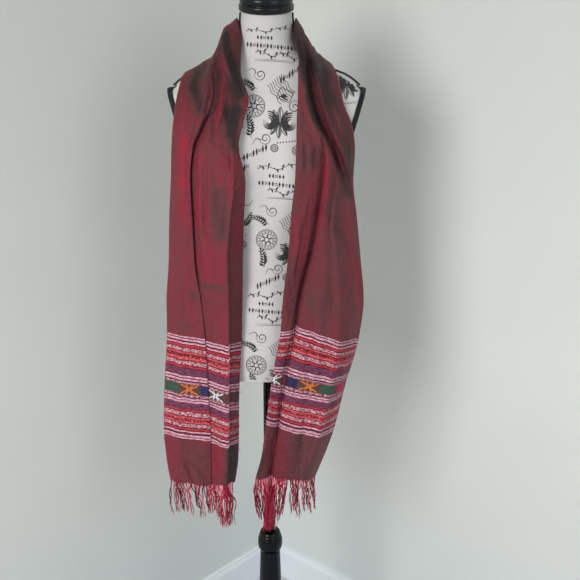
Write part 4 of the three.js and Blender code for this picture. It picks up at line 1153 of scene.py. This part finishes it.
# Short loose ends and loops along the selvedges
EDGE_ROWS = {v: [r for r in range(len(P)) if (SIDES[r] < 0) == v and 70 < S[r] < 470] for v in (True, False)}
lv, lf = [], []
for i in range(34):
    left = rng.random() < .45
    r = rng.choice(EDGE_ROWS[left])
    edge = 11.0 if rng.random() < .92 else 0.0
    j = int(np.argmin(np.abs(M[r] - edge)))
    o = P[r][j]
    dx = (1 if left else -1) * (1 if edge else -1)
    ln, rise, curve_ = rng.uniform(1.5, 4.5), rng.uniform(-5, 3), rng.uniform(-2, 2)
    path = np.array([[o[0] + dx * ln * math.sin(t * 1.9) - dx * .6, o[1] - 1 + curve_ * t * (1 - t), o[2] + rise * t + 2.5 * math.sin(t * 5 + i)] for t in np.linspace(0, 1, 7)])
    tang = unit(np.gradient(path, axis=0))
    uu = unit(np.cross(tang, [0, 1.0, .05]))
    ww = np.cross(tang, uu)
    b0 = len(lv)
    for q in range(7):
        for m in range(4):
            a = math.pi / 2 * m
            lv.append(path[q] + .3 * (math.cos(a) * uu[q] + math.sin(a) * ww[q]))
    for q in range(6):
        for m in range(4):
            a, b = b0 + q * 4 + m, b0 + q * 4 + (m + 1) % 4
            lf.append((a, b, b + 4, a + 4))
    lf.append(tuple(b0 + m for m in range(4)))
    lf.append(tuple(b0 + 24 + m for m in reversed(range(4))))
loose = mesh_object("selvedge_threads", lv, lf, M_FRINGE)
for key, val in (("tint", .75), ("along", 0.0)):
    at = loose.data.attributes.new(key, "FLOAT", "POINT")
    at.data.foreach_set("value", np.full(len(lv), val, np.float32))

# ------------------------------------------------------------------ the dress form
zs = np.unique(np.concatenate([np.linspace(BODY_BOTTOM, 1335.9, 70), [ARM_LOW + .1, ARM_HIGH - .1, ARM_HIGH + .1],
                               np.linspace(1337, 1481, 34), np.linspace(1483, NECK_TOP, 46)]))
ring_pts = [body_ring(float(z)) for z in zs]
nring = len(ring_pts[0])
verts = [p for r in ring_pts for p in r]
faces = grid_faces(len(zs), nring, wrap=True)
for i, flip in ((0, True), (len(zs) - 1, False)):
    c = np.mean(ring_pts[i], axis=0)
    verts.append(tuple(c))
    kk = len(verts) - 1
    for j in range(nring):
        a, b = i * nring + j, i * nring + (j + 1) % nring
        faces.append((b, a, kk) if flip else (a, b, kk))
cover = mesh_object("torso_cover", verts, faces, M_LINEN)
cover.data.shade_smooth()
try:
    cover.data.set_sharp_from_angle(angle=math.radians(50))
except Exception:
    pass
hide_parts("form_torso")

# Printed sprigs, curls and rosettes on the cover, as thin ink laid on its surface
STROKES = []


def on_cover(x, z):
    cut = np.where((z > ARM_LOW) & (z < ARM_HIGH), arm_x(z) - ARM_T - GAP, 1e9)
    return (z > BODY_BOTTOM + 5) & (z < 1611) & (np.abs(x) < np.minimum(b_half(z) * .94, cut - 3))


def stroke(pts, widths, back=False):
    pts = np.array(pts, float)
    ws = np.array(widths, float) if hasattr(widths, "__len__") else np.full(len(pts), float(widths))
    STROKES.append((pts, ws * 1.22, back))


def ink(strokes, lift=.35):
    """Every stroke as a thin ribbon just off the cover, kept to the part of it that lies on the cover."""
    flat_ = np.concatenate([p for p, _, _ in strokes])
    ok = on_cover(flat_[:, 0], flat_[:, 1])
    xz, behind, faces_, at = [], [], [], 0
    count = 0
    for pts, ws, back in strokes:
        good = ok[at:at + len(pts)]
        at += len(pts)
        if not good.any():
            continue
        d = np.gradient(pts, axis=0)
        l = np.maximum(np.hypot(d[:, 0], d[:, 1]), 1e-6)[:, None]
        side_ = np.stack([-d[:, 1], d[:, 0]], 1) / l * ws[:, None] / 2
        both = np.stack([pts - side_, pts + side_], 1).reshape(-1, 2)
        xz.append(both)
        behind.append(np.full(len(both), back))
        for i in range(len(pts) - 1):
            if good[i] and good[i + 1]:
                a = count + 2 * i
                faces_.append((a, a + 1, a + 3, a + 2) if back else (a, a + 2, a + 3, a + 1))
        count += len(both)
    xz, behind = np.concatenate(xz), np.concatenate(behind)
    x, z = xz[:, 0], xz[:, 1]
    y = np.where(behind, back_y(x, z) + lift, front_y(x, z) - lift)
    z = z + y * math.tan(NECK_TILT) * smooth(1560, NECK_TOP, z)
    used = sorted({i for f in faces_ for i in f})
    new = {o: n_ for n_, o in enumerate(used)}
    return np.stack([x, y, z], 1)[used], [tuple(new[i] for i in f) for f in faces_]


def turn(x, z, cx, cz, ang, mirror=1):
    c, s_ = math.cos(ang), math.sin(ang)
    x *= mirror
    return cx + x * c - z * s_, cz + x * s_ + z * c


def blade(cx, cz, ang, size, back, at=(0, 0), tilt=0.0):
    """An outlined leaf with a midrib and a shaded half."""
    for m, w in ((1, 1.0), (-1, 1.0)):
        pts = []
        for t in np.linspace(0, 1, 12):
            x, z = turn(t * size, m * .17 * size * math.sin(math.pi * t) ** .8, 0, 0, tilt)
            pts.append(turn(at[0] + x, at[1] + z, cx, cz, ang))
        stroke(pts, w, back)
    for f, w in ((.07, 1.5), (-.02, .8)):
        pts = []
        for t in np.linspace(.08, .9, 8):
            x, z = turn(t * size, f * size * math.sin(math.pi * t), 0, 0, tilt)
            pts.append(turn(at[0] + x, at[1] + z, cx, cz, ang))
        stroke(pts, [w * math.sin(math.pi * (i + .6) / 8.2) + .2 for i in range(8)], back)


def leaf(cx, cz, ang, size, back, at=(0, 0), tilt=0.0):
    n = 7
    pts, ws = [], []
    for i in range(n):
        t = i / (n - 1)
        x, z = turn(t * size, .18 * size * math.sin(math.pi * t), 0, 0, tilt)
        pts.append(turn(at[0] + x, at[1] + z, cx, cz, ang))
        ws.append(max(.25, .36 * size * math.sin(math.pi * min(1, t * 1.02)) ** .8))
    stroke(pts, ws, back)


def sprig(cx, cz, ang, size, back):
    n = 14
    stem = [(0.18 * size * math.sin(t * 2.4), (t - .5) * size) for t in np.linspace(0, 1, n)]
    stroke([turn(x, z, cx, cz, ang) for x, z in stem], [.9 - .5 * t for t in np.linspace(0, 1, n)], back)
    for i in range(2, n - 1, 2):
        x, z = stem[i]
        s_ = size * (.34 - .16 * i / n)
        leaf(cx, cz, ang, s_, back, (x, z), math.radians(38))
        leaf(cx, cz, ang, s_, back, (x, z), math.radians(142))
    leaf(cx, cz, ang, size * .22, back, stem[-1], math.radians(90))


def curl(cx, cz, ang, size, back, mirror=1):
    n = 30
    pts = []
    for i in range(n):
        t = i / (n - 1)
        r = size * (.5 * (1 - t) + .07)
        a = t * 3.3 * math.pi
        pts.append(turn(r * math.cos(a) - .5 * size, r * math.sin(a), cx, cz, ang, mirror))
    stroke(pts, [1.5 - 1.0 * abs(2 * i / (n - 1) - 1) for i in range(n)], back)
    tail = [turn(-.07 * size + t * size * .9, -.28 * size * math.sin(t * math.pi * 1.1), cx, cz, ang, mirror) for t in np.linspace(0, 1, 14)]
    stroke(tail, [1.5 - 1.1 * t for t in np.linspace(0, 1, 14)], back)


def rosette(cx, cz, ang, size, back):
    for r, w in ((.5, .8), (.42, .45), (.16, .7)):
        pts = [(cx + size * r * math.cos(a), cz + size * r * math.sin(a)) for a in np.linspace(0, 2 * math.pi, 31)]
        stroke(pts, w, back)
    for i in range(8):
        leaf(cx, cz, ang + i * math.pi / 4, size * .2, back, (size * .18, 0), 0)


def rule(cx, cz, ang, size, back, dots=False):
    if dots:
        for i in range(9):
            x = (i / 8 - .5) * size
            pts = [turn(x + .8 * math.cos(a), .8 * math.sin(a), cx, cz, ang) for a in np.linspace(0, 2 * math.pi, 7)]
            stroke(pts, 1.1, back)
    else:
        for dz, w in ((0, .9), (2.6, .45)):
            stroke([turn((t - .5) * size, dz + 1.5 * math.sin(t * math.pi), cx, cz, ang) for t in np.linspace(0, 1, 14)],
                   [w * (.3 + .7 * math.sin(math.pi * t)) for t in np.linspace(0, 1, 14)], back)


def hatch(cx, cz, ang, size, back):
    for i in range(6):
        dz = (i - 2.5) * size * .085
        stroke([turn((t - .5) * size, dz + 1.2 * math.sin(t * 9), cx, cz, ang) for t in np.linspace(0, 1, 18)], .6, back)


def vine(cx, cz, ang, size, back, rise=4.0):
    line = [((t - .5) * size, rise * math.sin(t * 4 * math.pi)) for t in np.linspace(0, 1, 40)]
    stroke([turn(x, z, cx, cz, ang) for x, z in line], [1.25 - .5 * abs(math.sin(t * 9)) for t in np.linspace(0, 1, 40)], back)
    for i in range(3, 38, 5):
        x, z = line[i]
        up = 1 if (i // 5) % 2 else -1
        leaf(cx, cz, ang, rise * 1.9, back, (x, z), math.radians(60 * up))
        leaf(cx, cz, ang, rise * 1.2, back, (x, z), math.radians(-130 * up))


def gem(x, z, w, h, back):
    stroke([(x, z - h / 2), (x, z - h * .25), (x, z), (x, z + h * .25), (x, z + h / 2)], [.2, w * .55, w, w * .55, .2], back)


def gems(cx, cz, ang, size, back, h=8.5):
    n = int(size / 6.4)
    for i in range(n):
        x, z = turn((i - (n - 1) / 2) * 6.4, 0, cx, cz, ang)
        if i % 3 == 2:
            for q in range(4):
                leaf(x, z, math.pi / 4 + q * math.pi / 2, 3.6, back, (.5, 0), 0)
        else:
            gem(x, z, 3.6, h, back)


def medallion(cx, cz, ang, size, back):
    for r, w in ((.5, 1.0), (.44, .5), (.3, .6), (.12, 1.4)):
        stroke([(cx + size * r * math.cos(a), cz + size * r * math.sin(a)) for a in np.linspace(0, 2 * math.pi, 37)], w, back)
    for i in range(16):
        a = ang + i * math.pi / 8
        c_, s_ = math.cos(a), math.sin(a)
        stroke([(cx + size * r * c_, cz + size * r * s_) for r in (.32, .36, .40, .43)], [.3, 1.8, 1.4, .3], back)
    for i in range(6):
        leaf(cx, cz, ang + i * math.pi / 3, size * .17, back, (size * .12, 0), 0)


def ripples(cx, cz, ang, size, back, n=7):
    for i in range(n):
        dz = (i - (n - 1) / 2) * size * .12
        stroke([turn((t - .5) * size, dz + 1.6 * math.sin(t * 13 + i * .3), cx, cz, ang) for t in np.linspace(0, 1, 26)], .9, back)


def panel(cx, cz, ang, size, back):
    w, h = size * .5, size * .38
    ring = [(-w, -h), (w, -h), (w, h), (-w, h), (-w, -h)]
    pts = []
    for (ax, az), (bx, bz) in zip(ring, ring[1:]):
        pts += [(lerp(ax, bx, t), lerp(az, bz, t)) for t in np.linspace(0, 1, 8)[:-1]]
    pts.append(ring[-1])
    stroke([turn(x, z, cx, cz, ang) for x, z in pts], 1.1, back)
    for i in range(5):
        leaf(cx, cz, ang, size * .3, back, (0, -h * .6), math.radians(40 + 25 * i))
    stroke([turn(x, -h * .62, cx, cz, ang) for x in np.linspace(-w * .7, w * .7, 8)], 1.6, back)


def plume(cx, cz, ang, size, back):
    """A bold tied spray: curling leaves to both sides of three upright ones."""
    for m in (-1, 1):
        for r, w0 in ((.34, .055), (.27, .03), (.2, .06), (.12, .04)):
            pts = []
            for t in np.linspace(0, 1, 18):
                a = math.radians(100 - 290 * t)
                q = r * (1 - .45 * t) * size
                pts.append(turn(m * (size * (.05 + .32) - q * math.cos(a)), -size * .06 + q * math.sin(a), cx, cz, ang))
            stroke(pts, [size * w0 * (math.sin(math.pi * min(1, t + .12)) ** .8) + .3 for t in np.linspace(0, 1, 18)], back)
        blade(cx, cz, ang, size * .48, back, (m * size * .05, -size * .1), math.radians(90 - m * 24))
        blade(cx, cz, ang, size * .42, back, (m * size * .05, -size * .14), math.radians(-90 + m * 34))
    blade(cx, cz, ang, size * .58, back, (0, -size * .12), math.radians(90))
    blade(cx, cz, ang, size * .46, back, (0, -size * .14), math.radians(-90))
    for dz in (-.13, -.09):
        stroke([turn(x, dz * size, cx, cz, ang) for x in np.linspace(-size * .17, size * .17, 8)], size * .035, back)


# one repeat of the print: motif, x, z, angle in degrees, size
REPEAT = [
    (vine, 0, 240, 4, 104), (gems, -16, 222, -4, 32), (gems, -4, 206, -5, 96, 10), (vine, 8, 191, -6, 84), (rule, 2, 178, -3, 74),
    (gems, 36, 158, 32, 58, 15), (curl, -34, 158, 160, 20), (sprig, -46, 134, 70, 30), (ripples, 14, 128, -52, 44), (panel, 22, 118, -24, 26),
    (medallion, -36, 98, 10, 40), (curl, 50, 100, 20, 22), (plume, 12, 72, -4, 54), (sprig, -46, 58, 14, 34), (sprig, 52, 66, -28, 30),
    (curl, -24, 36, 200, 20), (rule, 30, 34, 6, 44, True), (rosette, 44, 18, 0, 17), (gems, -34, 14, 24, 52, 14), (rosette, 2, 22, 0, 14),
]
for back in (False, True):
    for row in range(-1, 4):
        for col in range(-2, 3):
            ox = col * 128 + (22 if row % 2 else 0) + (14 if not back else -30)
            oz = 838 + row * 252 + (col % 2) * 70
            for m in REPEAT:
                fn, mx, mz, ang, size = m[:5]
                extra = {} if len(m) < 6 else {"dots": True} if fn is rule else {"h": m[5]}
                x, z = mx + ox, mz + oz
                if BODY_BOTTOM - 20 < z < 1600 and abs(x) < 215:
                    fn(x, z, math.radians(ang), size, back, **extra)
ink_v, ink_f = ink(STROKES)
printed = mesh_object("cover_print", ink_v, ink_f, M_INK)


def lathe(name, profile, material, node, segs=96, tilt=0.0, lift=0.0):
    prof = [(max(r, 0.0), z) for r, z in profile]
    verts, faces = [], []
    n = len(prof)
    for r, z in prof:
        for j in range(segs):
            a = 2 * math.pi * j / segs
            verts.append((r * math.cos(a), r * math.sin(a), z))
    faces = grid_faces(n, segs, wrap=True)
    v = np.array(verts, float)
    if tilt:
        c, s_ = math.cos(tilt), math.sin(tilt)
        y, z = v[:, 1].copy(), v[:, 2].copy()
        v[:, 1], v[:, 2] = y * c - z * s_, y * s_ + z * c
    v[:, 2] += lift
    ob = mesh_object(name, v, faces, material)
    bpy.context.view_layer.update()
    import bmesh
    bm = bmesh.new()
    bm.from_mesh(ob.data)
    bmesh.ops.remove_doubles(bm, verts=bm.verts, dist=1e-6)
    bmesh.ops.recalc_face_normals(bm, faces=bm.faces)
    bm.to_mesh(ob.data)
    bm.free()
    ob.data.shade_smooth()
    try:
        ob.data.set_sharp_from_angle(angle=math.radians(38))
    except Exception:
        pass
    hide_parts(node)
    return ob


def rounded(pts, r, n=5):
    out = [pts[0]]
    for a, b, c in zip(pts, pts[1:], pts[2:]):
        a, b, c = map(np.array, (a, b, c))
        la, lc = np.linalg.norm(a - b), np.linalg.norm(c - b)
        ra, rc = min(r, .45 * la), min(r, .45 * lc)
        A, C = b + (a - b) / max(la, 1e-9) * ra, b + (c - b) / max(lc, 1e-9) * rc
        for i in range(n):
            t = i / (n - 1)
            out.append(tuple((1 - t) ** 2 * A + 2 * t * (1 - t) * b + t * t * C))
    return out + [pts[-1]]


base = lathe("base_round", rounded([(0, 0), (216, 0), (220, 4), (220, 14), (215, 20), (202, 23), (60, 30), (44, 40), (0, 40)], 4),
             M_STAND, "stand_base", 128)
COLUMN = [(40.3, 34), (62, 33), (78, 24), (110, 22), (150, 26.5), (230, 29), (300, 27.8), (366, 25.3), (449, 22.4)]
colf = pchip([z for z, _ in COLUMN], [r for _, r in COLUMN])
col = [(0, 40.3)] + [(float(colf(z)), float(z)) for z in np.linspace(40.3, 449, 60)]
BULB = [(449, 22.4), (452, 24.2), (458, 27.0), (468, 28), (477, 27.4), (482, 26)]
bf = pchip([z for z, _ in BULB], [r for _, r in BULB])
col += [(22.0, 449.6), (22.0, 450.4)] + [(float(bf(z)), float(z)) for z in np.linspace(451, 482, 22)]
col += [(25.7, 482.6), (24.6, 483.4), (24.5, 484.2), (25.1, 485.2), (24.9, 487.0), (24.0, 488.2), (23.3, 488.9), (23.2, 489.7), (23.5, 490.6),
        (22.8, 493.4), (21.4, 496), (19.4, 497.6), (18, 498), (0, 498)]
column = lathe("column_turned", col, M_STAND, "stand_column", 96)
pole = lathe("pole_tube", rounded([(0, POLE_BOTTOM), (POLE_R, POLE_BOTTOM), (POLE_R, 898.7), (0, 898.7)], .6),
             M_STAND, "stand_pole", 48)
cap_line = [(0, 0), (CAP_R, 0), (CAP_R, CAP_RIM - 2), (CAP_R - 2, CAP_RIM), (CAP_R - 3.5, CAP_RIM + .5), (CAP_R - 3.5, CAP_RIM + 2), (CAP_R - 2, CAP_RIM + 3.5),
            (CAP_R - 2.5, CAP_H - 9), (CAP_R - 6, CAP_H - 5), (CAP_R - 15, CAP_H - 1.5), (CAP_R - 30, CAP_H), (0, CAP_H)]
cap = lathe("neck_cap", rounded(cap_line, 1.6, 4), M_CAP, "form_neck_cap", 96, tilt=NECK_TILT, lift=NECK_TOP + 1.2)

for name, mat in (("form_arm_plate_left", M_PLATE), ("form_arm_plate_right", M_PLATE),
                  ("form_seam_piping_left", M_PIPE), ("form_seam_piping_right", M_PIPE),
                  ("form_side_piping_left", M_PIPE), ("form_side_piping_right", M_PIPE)):
    nodes[name].data.materials.clear()
    nodes[name].data.materials.append(mat)

# ------------------------------------------------------------------ stage, light, camera
CORNER, REACH, WALL_H, SKIRT = np.array([-17.0, 597.0]), 1500.0, 2700.0, 100.0
LEFT_WALL, RIGHT_WALL = np.array([-.660, -.751]), np.array([.751, -.660])
sv, sf = [], []


wv, wf, bv, bf = [], [], [], []


def quad(*pts):
    n = len(sv)
    sv.extend(pts)
    sf.append((n, n + 1, n + 2, n + 3))


for d, flip in ((LEFT_WALL, False), (RIGHT_WALL, True)):
    inward = RIGHT_WALL if d is LEFT_WALL else LEFT_WALL
    # floor line, board's face, its rounded top, wall
    steps_ = [(14, -.2), (14, SKIRT - 16), (11, SKIRT - 9), (9, SKIRT - 7), (9, SKIRT - 2), (6, SKIRT), (0, SKIRT + .5), (0, WALL_H)]
    for (o0, z0), (o1, z1) in zip(steps_, steps_[1:]):
        sv, sf = (wv, wf) if z1 == WALL_H else (bv, bf)
        a0 = CORNER + inward * o0 + d * o0
        b0 = CORNER + d * REACH + inward * o0
        a1 = CORNER + inward * o1 + d * o1
        b1 = CORNER + d * REACH + inward * o1
        q4 = [(*a0, z0), (*b0, z0), (*b1, z1), (*a1, z1)]
        quad(*(q4[::-1] if flip else q4))
stage = mesh_object("stage_room", wv, wf, wall_material(), smooth_shade=False, ride=False)
boards = mesh_object("stage_boards", bv, bf, board_material(), smooth_shade=False, ride=False)
floor = mesh_object("stage_floor", [(-2600, -2600, -.2), (2600, -2600, -.2), (2600, 1400, -.2), (-2600, 1400, -.2)], [(0, 1, 2, 3)],
                    floor_material(), smooth_shade=False, ride=False)


def area(name, loc, aim, size, power, colour=(1, 1, 1)):
    light = bpy.data.lights.new(name, "AREA")
    light.shape, light.size, light.energy, light.color = "DISK", size, power, colour
    ob = bpy.data.objects.new(name, light)
    ob.location = loc
    d = np.array(aim) - np.array(loc)
    from mathutils import Vector
    ob.rotation_euler = Vector(d).to_track_quat("-Z", "Y").to_euler()
    bpy.context.scene.collection.objects.link(ob)
    return ob


area("key", (-1.65, -2.45, 1.8), (0, 0, 1.1), 1.5, 54, (1.0, .985, .96))
area("fill", (1.8, -2.6, 1.7), (0, 0, 1.1), 2.2, 19, (.95, .98, 1.0))
area("top", (-.2, -.9, 3.4), (0, .1, 1.2), 1.8, 1.5)
world = bpy.data.worlds.new("studio")
world.use_nodes = True
world.node_tree.nodes["Background"].inputs[0].default_value = (.93, .96, .98, 1)
world.node_tree.nodes["Background"].inputs[1].default_value = .46
bpy.context.scene.world = world
bpy.context.scene.view_settings.view_transform = "Standard"
bpy.context.scene.view_settings.look = "None"

cam = bpy.data.cameras.new("view")
cam.sensor_width, cam.lens = 36, FOCAL_PX / 580 * 36
cam.clip_end = 30
camera = bpy.data.objects.new("view", cam)
camera.location = CAM / 1000
camera.rotation_euler = (math.radians(90) - PITCH, 0, 0)
bpy.context.scene.collection.objects.link(camera)
bpy.context.scene.camera = camera
